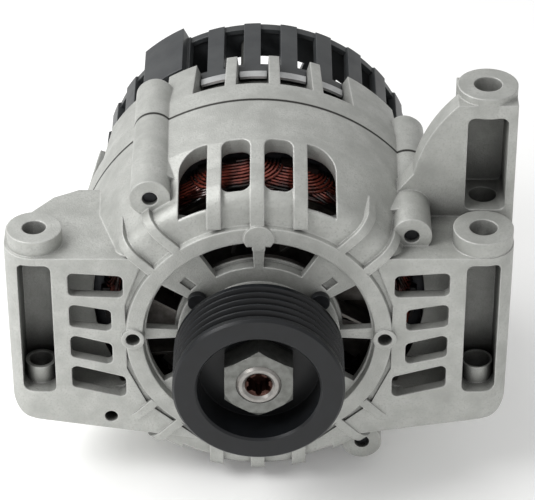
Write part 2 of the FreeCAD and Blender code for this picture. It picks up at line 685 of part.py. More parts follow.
def grille_ribs(sketch):
    for side in (-1, 1):
        for k in (-1, 0, 1):
            middle = s.grille_shift + s.grille_pitch * k
            low = (s.ring_outer_radius - s.bar_margin) * side
            high = (s.crown_radius - s.bar_margin) * side
            outline(sketch, [(middle - s.grille_bar / 2, low), (middle + s.grille_bar / 2, low),
                             (middle + s.grille_bar / 2, high), (middle - s.grille_bar / 2, high)])


def along_ray(angle, distance, offset):
    """A point at a distance along a ray from the axis, and offset to its left."""
    return (distance * cosine(angle) - offset * sine(angle),
            distance * sine(angle) + offset * cosine(angle))


def diagonal_ribs(sketch):
    for side in (-1, 1):
        near = s.spoke_rib_offset * side - s.spoke_rib_half
        far = s.spoke_rib_offset * side + s.spoke_rib_half
        outline(sketch, [along_ray(45, s.spoke_rib_start, near), along_ray(45, s.spoke_rib_end, near),
                         along_ray(45, s.spoke_rib_end, far), along_ray(45, s.spoke_rib_start, far)])


def rib_outside(piece):
    """Rounds off the ribs and bars that stand proud of the shoulder."""
    front = s.face_front - s.bar_proud
    top = s.face_radius + s.bar_round
    far = s.crown_radius + s.bar_round
    slope = (s.crown_radius - s.shoulder_radius) / (s.crown_start - s.shoulder_start)
    end = s.shoulder_radius + slope * (s.bar_back - s.shoulder_start)
    piece.turn([(front - s.bar_round, s.face_radius), (front, s.face_radius, -s.bar_round),
                (front + s.bar_round, top), (s.bar_back + reach, end + slope), (s.bar_back + reach, far),
                (front - s.bar_round, far)], cut=True)


def spoke_pads(sketch):
    for angle in (s.pad_angle, 180 - s.pad_angle):
        half = s.pad_half
        outline(sketch, [along_ray(angle, s.pad_start, -half), along_ray(angle, s.pad_end, -half),
                         along_ray(angle, s.pad_end, half), along_ray(angle, s.pad_start, half)])


def wing_hole(sketch):
    circle(sketch, -s.wing_hole_x, s.wing_hole_z, s.wing_hole_radius)


def column_web(sketch):
    near, far = s.column_web_start, s.bolt_circle
    outline(sketch, [along_ray(s.bolt_angle, near, -s.column_web_half),
                     along_ray(s.bolt_angle, far, -s.column_radius),
                     along_ray(s.bolt_angle, far, s.column_radius),
                     along_ray(s.bolt_angle, near, s.column_web_half)])


def spoke_windows(sketch):
    outer = s.ring_inner_radius - 0.6
    sector(sketch, s.annulus_inner_radius, outer, s.thin_spoke_angle, 45 - s.wide_spoke_angle)
    sector(sketch, s.annulus_inner_radius, outer, 45 + s.wide_spoke_angle, 90 - s.thin_spoke_angle)


def louvres(sketch):
    for side in (-1, 1):
        for number in range(4):
            top = s.louvre_top - s.louvre_pitch * number
            drop = s.louvre_drop * (number + 1)
            outer = s.louvre_outer
            inner = s.louvre_inner if number in (0, 3) else s.louvre_short
            foot = top - s.louvre_height
            corners = [(outer, top), (inner, top - drop), (inner, foot - drop + s.louvre_slope),
                       (outer, foot)]
            rounded_outline(sketch, [(corner[0] * side, corner[1]) for corner in corners],
                            s.louvre_round)


def front_casting():
    """The front housing without its openings."""
    piece = Shaper("front_casting", whole=False)
    piece.turn([
        (hub_front, 0), (hub_front, s.hub_radius), (s.annulus_front, s.hub_radius + s.hub_draft),
        (s.annulus_front, s.ring_inner_radius), (s.ring_front, s.ring_inner_radius + s.ring_edge),
        (s.ring_front, s.ring_outer_radius - s.ring_edge), (s.face_front, s.ring_outer_radius),
        (s.face_front, s.face_radius, -(s.shoulder_radius - s.face_radius)),
        (s.shoulder_start, s.shoulder_radius), (s.crown_start, s.crown_radius),
        (s.joint_plane, s.barrel_radius), (s.joint_plane, 0)])
    bar_front = s.face_front - s.bar_proud
    rib = piece.along_y(bar_front, s.bar_back - bar_front, diagonal_ribs)
    piece.around(rib, 4, True)
    piece.along_y(bar_front, s.bar_back - bar_front, grille_ribs)
    rib_outside(piece)
    column = piece.along_y(s.column_front, s.joint_plane - s.column_front,
                           lambda k: at_bolts(k, s.column_radius))
    piece.around(column, 4, True)
    web = piece.along_y(s.column_web_front, s.joint_plane - s.column_web_front, column_web)
    piece.around(web, 4, True)
    piece.along_y(s.wing_front, s.wing_back - s.wing_front, wing_face)
    piece.up_z(s.wing_belly * 2, s.wing_belly * -4, wing_sweep, cut=True)
    piece.up_z(s.wing_belly * 2, s.wing_belly * -4, wing_tips, cut=True)
    piece.along_y(s.rear_ear_front, s.rear_web_thickness, rear_ear_web)
    piece.along_y(s.rear_ear_front, s.pocket_depth + s.rear_ear_wall, rear_ear_column)
    piece.along_y(s.ring_front - s.boss_proud, s.boss_proud * 5, ring_bosses)
    piece.up_z(s.pocket_top, s.ear_boss_top - s.pocket_top, ear_bosses)
    piece.up_z(s.foot_plane, s.wing_foot - s.foot_plane + s.wing_round, ear_feet)
    piece.up_z(s.rear_ear_shoulder - s.wing_round, s.rear_ear_top - s.rear_ear_shoulder + s.wing_round,
               lambda k: circle(k, s.rear_ear_x, s.rear_ear_y, s.right_boss_radius))
    return piece


def front_openings():
    """Everything that is hollow or open in the front housing."""
    piece = Shaper("front_openings", whole=False)
    piece.turn([
        (front_bearing_end, 0), (front_bearing_end, s.annulus_inner_radius + 1.0),
        (annulus_back, s.annulus_inner_radius + 1.0), (annulus_back, s.face_radius - s.dome_wall),
        (s.shoulder_start + 2.0, s.shoulder_radius - s.dome_wall),
        (s.stator_front - 4.0, s.stator_stop), (s.stator_front, s.stator_stop),
        (s.stator_front, s.stator_seat), (s.joint_plane + reach, s.stator_seat),
        (s.joint_plane + reach, 0)])
    piece.turn([
        (hub_front - reach, 0), (hub_front - reach, s.lip_radius),
        (s.front_bearing_start, s.lip_radius),
        (s.front_bearing_start, s.front_bearing_radius + s.bearing_fit),
        (front_bearing_end + reach, s.front_bearing_radius + s.bearing_fit),
        (front_bearing_end + reach, 0)])
    window = piece.along_y(hub_front - reach, annulus_back - hub_front + reach * 2, spoke_windows)
    piece.around(window, 4, True)
    piece.up_z(s.grille_floor, s.grille_cut, grille_windows)
    piece.up_z(-s.grille_floor - s.grille_cut, s.grille_cut, grille_windows)
    piece.along_y(s.wing_hollow_front, s.wing_hollow_back - s.wing_hollow_front, wing_hollows)
    piece.along_y(s.wing_front - reach, s.wing_hollow_front - s.wing_front + reach * 2.5, louvres)
    piece.along_y(s.wing_front - reach, s.pocket_depth + reach, ear_pockets)
    piece.along_y(s.rear_ear_front - reach, s.pocket_depth + reach,
                  lambda k: rounded_box(k, s.rear_ear_x - s.rear_pocket_half_width,
                                        s.rear_ear_x + s.rear_pocket_half_width,
                                        s.rear_pocket_floor, s.rear_pocket_top, s.pocket_round))
    piece.up_z(s.pocket_floor - reach, s.floor_boss_top - s.pocket_floor + reach, floor_bosses, cut=True)
    piece.up_z(s.foot_plane - reach, s.ear_boss_top - s.foot_plane + reach * 2, ear_bores)
    piece.up_z(s.rear_ear_foot - reach, s.rear_ear_top - s.rear_ear_foot + reach * 2,
               lambda k: circle(k, s.rear_ear_x, s.rear_ear_y, s.right_bore_radius))
    hole = piece.along_y(s.column_front - reach, s.joint_plane - s.column_front + reach * 2,
                         lambda k: at_bolts(k, s.bolt_hole_radius))
    piece.around(hole, 4, True)
    piece.along_y(s.annulus_front - reach, front_bearing_end - s.annulus_front + reach * 2,
                  lambda k: screw_places(k, s.retainer_screw_radius))
    hole_front = s.ring_front - s.boss_proud - reach
    piece.along_y(hole_front, annulus_back + reach - hole_front, tapped_holes)
    piece.along_y(s.annulus_front - reach, s.pad_depth + reach, spoke_pads)
    piece.along_y(s.wing_front - reach, s.wing_hole_depth + reach, wing_hole)
    return piece


def ring_bosses(sketch):
    circle(sketch, s.tapped_hole_circle, 0, s.tapped_boss_radius)
    circle(sketch, -s.tapped_hole_circle, 0, s.tapped_boss_radius)
    circle(sketch, 0, s.ring_lug_height, s.ring_lug_radius)


def tapped_holes(sketch):
    circle(sketch, s.tapped_hole_circle, 0, s.tapped_hole_radius)
    circle(sketch, -s.tapped_hole_circle, 0, s.tapped_hole_radius)


def ear_bosses(sketch):
    circle(sketch, -s.ear_x, s.ear_y, s.left_boss_radius)
    circle(sketch, s.ear_x, s.ear_y, s.right_boss_radius)


def ear_feet(sketch):
    circle(sketch, -s.ear_x, s.ear_y, s.left_boss_radius - s.foot_inset)
    circle(sketch, s.ear_x, s.ear_y, s.right_boss_radius - s.foot_inset)


def ear_bores(sketch):
    circle(sketch, -s.ear_x, s.ear_y, s.left_bore_radius)
    circle(sketch, s.ear_x, s.ear_y, s.right_bore_radius)


def floor_bosses(sketch):
    for x in (-s.ear_x, s.ear_x):
        circle(sketch, x, s.ear_y, s.pocket_half_width - 0.3)


def ear_pockets(sketch):
    for x in (-s.ear_x, s.ear_x):
        rounded_box(sketch, x - s.pocket_half_width, x + s.pocket_half_width, s.pocket_floor,
                    s.pocket_top, s.pocket_round)


def wing_hollows(sketch):
    near, far = s.louvre_inner, s.wing_hollow_outer
    for left, right in ((-far, -near), (near, far)):
        rounded_box(sketch, left, right, s.wing_hollow_floor, s.wing_hollow_top, s.pocket_round)


def front_housing():
    cut_out("front_housing", front_casting(), front_openings())


# Rear housing and the bolts that hold the two housings on the stator

def rear_windows(sketch):
    for number in range(int(s.rear_window_count.value)):
        place = number - (s.rear_window_count - 1) / 2
        middle = s.bolt_angle + s.rear_window_turn + s.rear_fin_pitch * place
        sector(sketch, s.rear_window_floor, s.barrel_radius + s.rear_plate_thickness,
               middle - s.rear_window_angle / 2, middle + s.rear_window_angle / 2)


def cover_screw_places(sketch, radius):
    for angle in (s.cover_screw_first, s.cover_screw_second, s.cover_screw_third):
        place = s.cover_screw_circle
        circle(sketch, place * cosine(angle), place * sine(angle), radius)


def rear_housing():
    seat = s.rear_bearing_radius + s.sleeve_wall
    casting = Shaper("rear_casting", whole=False)
    casting.turn([
        (s.joint_plane, 0), (s.joint_plane, s.barrel_radius - s.rear_step),
        (s.joint_plane + s.rear_step, s.barrel_radius), (s.rear_rim_back, s.barrel_radius),
        (s.rear_end, s.rear_end_radius), (s.rear_end, s.rear_end_inner),
        (rear_plate_back, s.rear_end_inner), (rear_plate_back, s.rear_boss_radius),
        (rear_bearing_end + s.rear_lip, s.rear_boss_radius), (rear_bearing_end + s.rear_lip, 0)])
    openings = Shaper("rear_openings", whole=False)
    window = openings.along_y(s.rear_window_front, s.rear_end + reach - s.rear_window_front,
                              rear_windows)
    openings.around(window, 4, True)
    post = casting.along_y(s.joint_plane, s.post_end - s.post_round - s.joint_plane,
                           lambda k: at_bolts(k, s.column_radius))
    casting.around(post, 4, True)
    tip = casting.along_y(s.post_end - s.post_round * 2, s.post_round * 2,
                          lambda k: at_bolts(k, s.column_radius - s.post_round / 2))
    casting.around(tip, 4, True)
    web = casting.along_y(s.joint_plane, s.rear_rim_back - s.joint_plane, column_web)
    casting.around(web, 4, True)
    openings.turn([
        (s.joint_plane - reach, 0), (s.joint_plane - reach, s.stator_seat),
        (stator_back, s.stator_seat), (stator_back, s.rear_stop_radius),
        (s.rear_plate_front - s.rear_plate_thickness, s.rear_stop_radius - reach),
        (s.rear_plate_front, s.rear_stop_radius - s.rear_plate_thickness), (s.rear_plate_front, 0)])
    openings.turn([
        (s.rear_plate_front - reach, 0), (s.rear_plate_front - reach, seat),
        (rear_bearing_end, seat), (rear_bearing_end, s.rear_lip_radius),
        (rear_bearing_end + s.rear_lip + reach, s.rear_lip_radius),
        (rear_bearing_end + s.rear_lip + reach, 0)])
    vent = openings.along_y(s.rear_plate_front - reach, s.rear_plate_thickness + reach * 2,
                            lambda k: sector(k, s.rear_vent_inner, s.rear_vent_outer,
                                             s.rear_vent_angle / -2, s.rear_vent_angle / 2))
    openings.around(vent, s.rear_vent_count, True)
    hole = openings.along_y(s.joint_plane - reach, s.post_back - s.joint_plane + reach * 2,
                            lambda k: at_bolts(k, s.bolt_hole_radius))
    openings.around(hole, 4, True)
    recess = openings.along_y(s.post_back, s.rear_end + reach - s.post_back,
                              lambda k: at_bolts(k, s.bolt_head_radius + s.bolt_head_play))
    openings.around(recess, 4, True)
    openings.along_y(s.rear_plate_front - reach, s.rear_plate_thickness + reach * 2,
                     lambda k: cover_screw_places(k, s.cover_screw_radius))
    cut_out("rear_housing", casting, openings)
    ring("rear_bearing_sleeve", s.rear_bearing_start, rear_bearing_end, s.rear_bearing_radius, seat)


def through_bolts():
    piece = Shaper("through_bolts")
    shank = piece.along_y(s.bolt_front, s.post_back - s.bolt_front, lambda k: at_bolts(k, s.bolt_radius))
    piece.around(shank, 4, True)
    head = piece.along_y(s.post_back, s.bolt_head_height, lambda k: at_bolts(k, s.bolt_head_radius))
    piece.around(head, 4, True)


# Stator

def slot_outline(sketch):
    mouth = s.slot_mouth / 2
    half = s.slot_width / 2
    lip = s.stator_bore + s.slot_lip
    outline(sketch, [(-mouth, s.stator_bore - reach), (mouth, s.stator_bore - reach), (mouth, lip),
                     (half, lip + 0.5), (half, s.slot_bottom), (-half, s.slot_bottom),
                     (-half, lip + 0.5), (-mouth, lip)])


def stator():
    core = ring("stator_core", s.stator_front, stator_back, s.stator_bore, s.stator_radius)
    slot = core.along_y(s.stator_front - reach, s.stator_length + reach * 2, slot_outline, cut=True)
    core.around(slot, s.slot_count, False)
    gap = s.winding_gap
    low = s.winding_inner
    high = s.winding_outer
    half = s.slot_width / 2 - gap
    winding = Shaper("stator_winding")
    bar = winding.along_y(s.stator_front - 2.0, s.stator_length + 4.0, lambda k: outline(
        k, [(-half, low + 1.6), (half, low + 1.6), (half, high - 0.1), (-half, high - 0.1)]))
    winding.around(bar, s.slot_count, True)
    for face, way in ((s.stator_front, -1), (stator_back, 1)):
        top = face + s.winding_height * way
        winding.turn([(face + gap * way, low + 1.0), (top - 3.0 * way, low), (top, low + 2.6),
                      (top, high - 3.2), (top - 3.4 * way, high), (face + gap * way, high - 0.1)])


# Rotor

def claw_gap(sketch):
    root = s.claw_gap_root / 2
    tip = s.claw_gap_tip / 2
    inner = s.pole_front + s.pole_disc
    outline(sketch, [(-root, s.pole_front - reach), (root, s.pole_front - reach), (root, inner),
                     (tip, inner + s.claw_reach + reach), (-tip, inner + s.claw_reach + reach),
                     (-root, inner)])


def claw_pole(label):
    inner = s.pole_front + s.pole_disc
    tip = inner + s.claw_reach
    piece = turned(label, [
        (s.pole_front, s.core_radius), (s.pole_front, s.pole_radius - 1.2),
        (s.pole_front + 1.2, s.pole_radius), (tip, s.pole_radius), (tip, s.claw_tip_radius),
        (inner, s.claw_root_radius), (inner, s.stub_radius), (pole_middle, s.stub_radius),
        (pole_middle, s.core_radius)])
    gap = piece.up_z(s.claw_waist, s.pole_radius, claw_gap, cut=True)
    piece.around_shaft(gap, s.claw_count, False)
    return piece


def fan_sheet(sketch):
    sector(sketch, s.fan_plate_radius - 1.0, s.fan_radius, 0, s.fan_petal_angle)


def fan_blade(sketch):
    start = along_ray(0, s.fan_plate_radius - 3.0, as_size(0))
    thick = s.fan_plate
    outline(sketch, [start, along_ray(s.fan_blade_sweep, s.fan_radius, as_size(0)),
                     along_ray(s.fan_blade_sweep, s.fan_radius, thick),
                     along_ray(0, s.fan_plate_radius - 3.0, thick)])


def cooling_fan(label, plate_start, blade_start, blades):
    piece = ring(label, plate_start, plate_start + s.fan_plate, s.fan_bore, s.fan_plate_radius)
    petal = piece.along_y(plate_start, s.fan_plate, fan_sheet)
    piece.around(petal, blades, True)
    blade = piece.along_y(blade_start, s.fan_height, fan_blade)
    piece.around(blade, blades, True)


def rotor():
    claw_pole("claw_pole_front")
    rear = claw_pole("claw_pole_rear").body
    half_turn = Rotation(Vector(0, 0, 1), 180) * Rotation(Vector(0, 1, 0), 180 / s.claw_count.value)
    rear.Placement = Placement(Vector(0, 2 * pole_middle.value, 0), half_turn)
    rear.setExpression("Placement.Base.y", (pole_middle * 2).formula)
    start = s.pole_front + s.pole_disc + 0.1
    end = pole_back - s.pole_disc - 0.1
    bore = s.stub_radius + 0.1
    wall = s.bobbin_wall
    turned("coil_bobbin", [
        (start, bore), (end, bore), (end, s.bobbin_radius), (end - wall, s.bobbin_radius),
        (end - wall, bore + wall), (start + wall, bore + wall), (start + wall, s.bobbin_radius),
        (start, s.bobbin_radius)])
    ring("field_coil", start + wall, end - wall, bore + wall, s.coil_radius)
    cooling_fan("front_fan", s.pole_front - s.fan_plate, s.pole_front - s.fan_height, s.fan_blades)
    cooling_fan("rear_fan", pole_back, pole_back, s.fan_blades + 1)


def slip_rings():
    wall = s.slip_ring_radius - s.slip_ring_wall
    first = s.slip_start + s.slip_end_wall
    edge = s.slip_ring_radius + 0.6
    inner = s.tail_radius
    turned("slip_ring_insulator", [
        (s.slip_start, inner), (slip_end, inner), (slip_end, edge), (slip_end - s.slip_end_wall, edge),
        (slip_end - s.slip_end_wall, wall), (first + slip_pitch, wall), (first + slip_pitch, edge),
        (first + s.slip_ring_width, edge), (first + s.slip_ring_width, wall), (first, wall),
        (first, edge), (s.slip_start, edge)])
    ring("slip_ring_front", first, first + s.slip_ring_width, wall, s.slip_ring_radius)
    ring("slip_ring_rear", first + slip_pitch, first + slip_pitch + s.slip_ring_width, wall,
         s.slip_ring_radius)


# Brushes, their holder and springs

def brush_middle(number):
    return s.slip_start + s.slip_end_wall + s.slip_ring_width / 2 + slip_pitch * number


def brush_gear():
    half_x = s.brush_wide / 2
    half_y = s.brush_thick / 2
    play = s.brush_play
    wall = s.holder_wall
    bottom = s.slip_ring_radius + s.brush_contact
    top = bottom + s.brush_length
    holder = Shaper("brush_holder")
    low = brush_middle(0) - half_y - play - wall
    high = brush_middle(1) + half_y + play + wall
    side = half_x + play + wall
    holder.up_z(s.holder_bottom, s.holder_top - s.holder_bottom,
                lambda k: rounded_box(k, -side, side, low, high, s.holder_round))
    for number, name in ((0, "brush_positive"), (1, "brush_negative")):
        middle = brush_middle(number)
        holder.up_z(s.holder_bottom - reach, s.holder_top - wall - s.holder_bottom + reach,
                    lambda k: outline(k, [(-half_x - play, middle - half_y - play),
                                          (half_x + play, middle - half_y - play),
                                          (half_x + play, middle + half_y + play),
                                          (-half_x - play, middle + half_y + play)]), cut=True)
        brush = Shaper(name)
        brush.up_z(bottom, s.brush_length, lambda k: outline(
            k, [(-half_x, middle - half_y), (half_x, middle - half_y),
                (half_x, middle + half_y), (-half_x, middle + half_y)]))
    length = (s.holder_top - wall - top - s.spring_wire * 2).value
    for number, name in ((0, "brush_spring_positive"), (1, "brush_spring_negative")):
        coil = Part.makeHelix(length / s.spring_turns.value, length, s.spring_radius.value)
        section = Part.Wire(Part.makeCircle(s.spring_wire.value / 2, Vector(s.spring_radius.value, 0, 0),
                                            Vector(0, 1, 0)))
        spring = Part.Wire(coil).makePipeShell([section], True, True)
        spring.translate(Vector(0, brush_middle(number).value, top.value + s.spring_wire.value))
        solid_group(name, [Part.Solid(spring) if spring.ShapeType != "Solid" else spring])


# Rectifier

def plate_sector(sketch):
    sector(sketch, s.plate_inner, s.plate_outer, s.plate_middle - s.plate_span / 2,
           s.plate_middle + s.plate_span / 2, arcs=2)


def diode_places(sketch, radius):
    for number in range(int(s.diode_count.value)):
        angle = s.plate_middle + s.diode_pitch * (number - (s.diode_count - 1) / 2)
        circle(sketch, s.diode_circle * cosine(angle), s.diode_circle * sine(angle), radius)


def post_places(sketch, radius):
    for number in (-1, 0, 1):
        angle = s.plate_middle + s.spacer_post_pitch * number
        circle(sketch, s.spacer_post_circle * cosine(angle), s.spacer_post_circle * sine(angle), radius)


def stud_place(sketch, radius):
    circle(sketch, s.stud_circle * cosine(s.stud_angle), s.stud_circle * sine(s.stud_angle), radius)


def rectifier():
    for name, start, diode_start in (
            ("minus_heat_plate", s.minus_plate_start, s.minus_plate_start),
            ("plus_heat_plate", s.plus_plate_start, s.plus_plate_start + s.heat_plate - s.diode_height)):
        plate = Shaper(name)
        plate.along_y(start, s.heat_plate, plate_sector)
        plate.along_y(start - reach, s.heat_plate + reach * 2,
                      lambda k: diode_places(k, s.diode_radius), cut=True)
        if name == "minus_heat_plate":
            plate.along_y(start - reach, s.heat_plate + reach * 2,
                          lambda k: post_places(k, s.spacer_post_radius), cut=True)
            plate.along_y(start - reach, s.heat_plate + reach * 2,
                          lambda k: stud_place(k, s.stud_radius + s.stud_base + s.stud_play), cut=True)
        else:
            plate.along_y(start - reach, s.heat_plate + reach * 2,
                          lambda k: stud_place(k, s.stud_radius), cut=True)
        diodes = Shaper(name.replace("heat_plate", "diodes"))
        diodes.along_y(diode_start, s.diode_height, lambda k: diode_places(k, s.diode_radius))
    posts = Shaper("rectifier_spacers")
    posts.along_y(rear_plate_back, s.plus_plate_start - rear_plate_back,
                  lambda k: post_places(k, s.spacer_post_radius))
    stud = Shaper("output_stud")
    stud.along_y(s.plus_plate_start - s.stud_base, s.stud_base,
                 lambda k: stud_place(k, s.stud_radius + s.stud_base))
    nut_back = s.cover_back + s.stud_nut_height
    stud.along_y(s.plus_plate_start, nut_back - s.plus_plate_start,
                 lambda k: stud_place(k, s.stud_radius))
    stud.along_y(nut_back, s.stud_end - nut_back, lambda k: stud_place(k, s.stud_end_radius))
    sleeve = Shaper("stud_sleeve")
    sleeve_start = s.plus_plate_start + s.heat_plate
    sleeve.along_y(sleeve_start, s.cover_back - sleeve_start,
                   lambda k: stud_place(k, s.stud_radius + s.stud_base))
    sleeve.along_y(sleeve_start - reach, s.cover_back - sleeve_start + reach * 2,
                   lambda k: stud_place(k, s.stud_radius), cut=True)
    x = s.stud_circle * cosine(s.stud_angle)
    z = s.stud_circle * sine(s.stud_angle)
    hex_nut("output_nut", x, z, s.cover_back, s.stud_nut_height, s.stud_nut_flats, s.stud_radius, 0)


# Regulator with its plug socket

def pin_places(sketch):
    low = s.socket_z - s.pin_thickness / 2
    high = s.socket_z + s.pin_thickness / 2
    for number in range(int(s.pin_count.value)):
        middle = s.socket_x + s.pin_pitch * (number - (s.pin_count - 1) / 2)
        left = middle - s.pin_width / 2
        right = middle + s.pin_width / 2
        outline(sketch, [(left, low), (right, low), (right, high), (left, high)])


def regulator():
    half = s.brush_wide / 2 + s.brush_play + s.holder_wall
    box = Shaper("voltage_regulator")
    box.along_y(s.regulator_front, s.regulator_back - s.regulator_front,
                lambda k: rounded_box(k, s.regulator_left, -half, s.regulator_low, s.holder_top, 2.0))
    left = s.socket_x - s.socket_width / 2
    right = s.socket_x + s.socket_width / 2
    low = s.socket_z - s.socket_height / 2
    high = s.socket_z + s.socket_height / 2
    wall = s.socket_wall
    socket = Shaper("plug_socket")
    socket.along_y(s.regulator_back, s.socket_back - s.regulator_back,
                   lambda k: rounded_box(k, left, right, low, high, s.socket_round))
    socket.along_y(s.socket_back - s.socket_depth, s.socket_depth + reach,
                   lambda k: rounded_box(k, left + wall, right - wall, low + wall, high - wall,
                                         s.socket_round - wall),
                   cut=True)
    pins = Shaper("socket_pins")
    start = s.socket_back - s.socket_depth
    pins.along_y(start, s.socket_depth - s.pin_inset, pin_places)


# Rear cover

def rear_cover():
    piece = turned("rear_cover", [
        (rear_plate_back, cover_inner), (rear_plate_back, s.cover_radius),
        (s.cover_back - s.cover_edge, s.cover_radius), (s.cover_back, s.cover_radius - s.cover_edge),
        (s.cover_back, 0), (cover_plate_front, 0), (cover_plate_front, cover_inner)])
    pitch = 360 / s.cover_rib_count
    rib_angle = s.cover_rib / s.cover_radius * (180 / math.pi)
    gap = pitch - rib_angle
    first = s.cover_rib_angle + rib_angle / 2
    slot = piece.along_y(s.cover_gap_front, s.cover_gap_back - s.cover_gap_front, lambda k: sector(
        k, cover_inner - reach, s.cover_radius + reach, first, first + gap), cut=True)
    piece.around(slot, s.cover_rib_count, False)
    recess_front = s.cover_gap_front - s.cover_wall
    recess = piece.along_y(recess_front, s.cover_back + reach - recess_front, lambda k: sector(
        k, s.cover_radius - s.cover_recess, s.cover_radius + reach, first, first + gap), cut=True)
    piece.around(recess, s.cover_rib_count, False)
    blister = s.blister_width / s.cover_radius * (90 / math.pi)
    piece.along_y(s.cover_gap_front, s.cover_back - s.cover_gap_front, lambda k: sector(
        k, cover_inner, s.blister_radius, s.blister_angle - blister, s.blister_angle + blister))
    vent = piece.along_y(cover_plate_front - reach, s.cover_wall + reach * 2, lambda k: sector(
        k, s.vent_ring_inner, s.vent_ring_outer, s.vent_first - s.vent_slot_angle / 2,
        s.vent_first + s.vent_slot_angle / 2), cut=True)
    piece.around(vent, s.vent_slot_count, False, s.vent_pitch * (s.vent_slot_count - 1))
    piece.along_y(cover_plate_front - reach, s.cover_wall + reach * 2,
                  lambda k: stud_place(k, s.stud_radius + s.stud_base + s.bearing_fit), cut=True)
    piece.along_y(cover_plate_front - reach, s.cover_wall + reach * 2,
                  lambda k: cover_screw_places(k, s.cover_screw_radius), cut=True)
    margin = s.socket_play
    side = s.socket_width / 2 + margin
    high = s.socket_height / 2 + margin
    piece.along_y(cover_plate_front - reach, s.cover_wall + reach * 2, lambda k: rounded_box(
        k, s.socket_x - side, s.socket_x + side, s.socket_z - high, s.socket_z + high,
        s.socket_round), cut=True)
    screws = Shaper("cover_screws")
    screws.along_y(s.rear_plate_front, s.cover_back - s.rear_plate_front,
                   lambda k: cover_screw_places(k, s.cover_screw_radius))
    screws.along_y(s.cover_back, s.cover_screw_head_height,
                   lambda k: cover_screw_places(k, s.cover_screw_head))


belt_pulley()
hex_nut("pulley_nut", as_size(0), as_size(0), nut_front, s.nut_height, s.nut_flats, s.thread_radius,
        90, s.nut_chamfer_radius)
rotor_shaft()
ring("shaft_spacer", pulley_back, s.front_bearing_start, s.journal_radius, s.spacer_radius)
bearing("front_bearing", s.front_bearing_start, s.front_bearing_width, s.journal_radius,
        s.front_bearing_radius, s.front_ball_radius, s.front_ball_count)
bearing("rear_bearing", s.rear_bearing_start, s.rear_bearing_width, s.rear_journal_radius,
        s.rear_bearing_radius, s.rear_ball_radius, s.rear_ball_count)
front_bearing_retainer()
front_housing()
rear_housing()
through_bolts()
stator()
rotor()
slip_rings()
brush_gear()
rectifier()
regulator()
rear_cover()

doc.recompute()
for item in doc.Objects:
    if "Invalid" in item.State or "Error" in item.State:
        raise RuntimeError("%s did not compute" % item.Label)
for item in pieces:
    if item.Shape.isNull() or not item.Shape.isValid():
        raise RuntimeError("%s has no valid shape" % item.Label)

os.makedirs("parts", exist_ok=True)
for item in pieces:
    item.Shape.exportStep(os.path.join("parts", item.Label + ".step"))
    print("%-28s solids %2d  volume %9.0f" % (item.Label, len(item.Shape.Solids), item.Shape.Volume))
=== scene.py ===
import json
import math
import random

import bmesh
import bpy
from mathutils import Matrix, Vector


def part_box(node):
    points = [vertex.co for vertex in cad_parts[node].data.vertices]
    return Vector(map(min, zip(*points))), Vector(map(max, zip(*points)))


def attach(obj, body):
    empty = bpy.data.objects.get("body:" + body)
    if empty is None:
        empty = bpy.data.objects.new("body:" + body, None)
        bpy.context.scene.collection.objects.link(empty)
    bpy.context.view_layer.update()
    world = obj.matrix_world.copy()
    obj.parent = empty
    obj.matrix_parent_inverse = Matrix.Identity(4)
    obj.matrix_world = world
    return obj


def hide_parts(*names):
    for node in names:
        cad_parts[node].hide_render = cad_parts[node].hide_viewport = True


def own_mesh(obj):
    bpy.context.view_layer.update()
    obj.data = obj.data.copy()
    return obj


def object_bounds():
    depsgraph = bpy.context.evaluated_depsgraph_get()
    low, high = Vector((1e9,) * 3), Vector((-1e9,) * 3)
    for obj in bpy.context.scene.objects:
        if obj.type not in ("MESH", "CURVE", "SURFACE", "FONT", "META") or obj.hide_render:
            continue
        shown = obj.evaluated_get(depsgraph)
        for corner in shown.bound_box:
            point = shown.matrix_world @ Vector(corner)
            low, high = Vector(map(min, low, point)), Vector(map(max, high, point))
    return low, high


# Looks of the claw-pole alternator, in metres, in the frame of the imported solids.
# The shaft lies along Y, the pulley faces -Y, and Z is up along the ear bolts.

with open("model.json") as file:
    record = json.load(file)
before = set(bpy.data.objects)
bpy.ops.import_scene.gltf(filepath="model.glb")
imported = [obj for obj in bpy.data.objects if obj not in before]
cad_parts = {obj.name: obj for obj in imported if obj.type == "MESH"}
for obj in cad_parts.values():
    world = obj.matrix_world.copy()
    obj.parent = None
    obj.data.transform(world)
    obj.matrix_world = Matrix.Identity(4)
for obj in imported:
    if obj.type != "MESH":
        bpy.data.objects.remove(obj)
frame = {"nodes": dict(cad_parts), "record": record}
cadLow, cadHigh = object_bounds()
scene = bpy.context.scene
nodes = frame["nodes"]
mm = 0.001


def spanMm(node, axis):
    # where a node's box begins and ends along an axis
    low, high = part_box(node)
    return round(getattr(low, axis) / mm, 3), round(getattr(high, axis) / mm, 3)


coreFrontMm, coreBackMm = spanMm("stator_core", "y")
coreMiddleMm = (coreFrontMm + coreBackMm) / 2
coreHalfMm = (coreBackMm - coreFrontMm) / 2
windingReachMm = spanMm("stator_winding", "y")[1] - coreMiddleMm
housingJointMm = spanMm("front_housing", "y")[1]
coverFrontMm = spanMm("rear_cover", "y")[0]
coverRadiusMm = spanMm("rear_cover", "z")[1]
print("frame loaded:", len(nodes), "nodes")


def toLinear(hexText):
    channels = [int(hexText[k:k + 2], 16) / 255 for k in (1, 3, 5)]
    return tuple(c / 12.92 if c <= 0.04045 else ((c + 0.055) / 1.055) ** 2.4 for c in channels) + (1.0,)


def addNode(tree, kind, values=None, feeds=None, **settings):
    node = tree.nodes.new(kind)
    for name, value in settings.items():
        setattr(node, name, value)
    for socket, value in (values or {}).items():
        node.inputs[socket].default_value = value
    for socket, source in (feeds or {}).items():
        tree.links.new(source, node.inputs[socket])
    return node


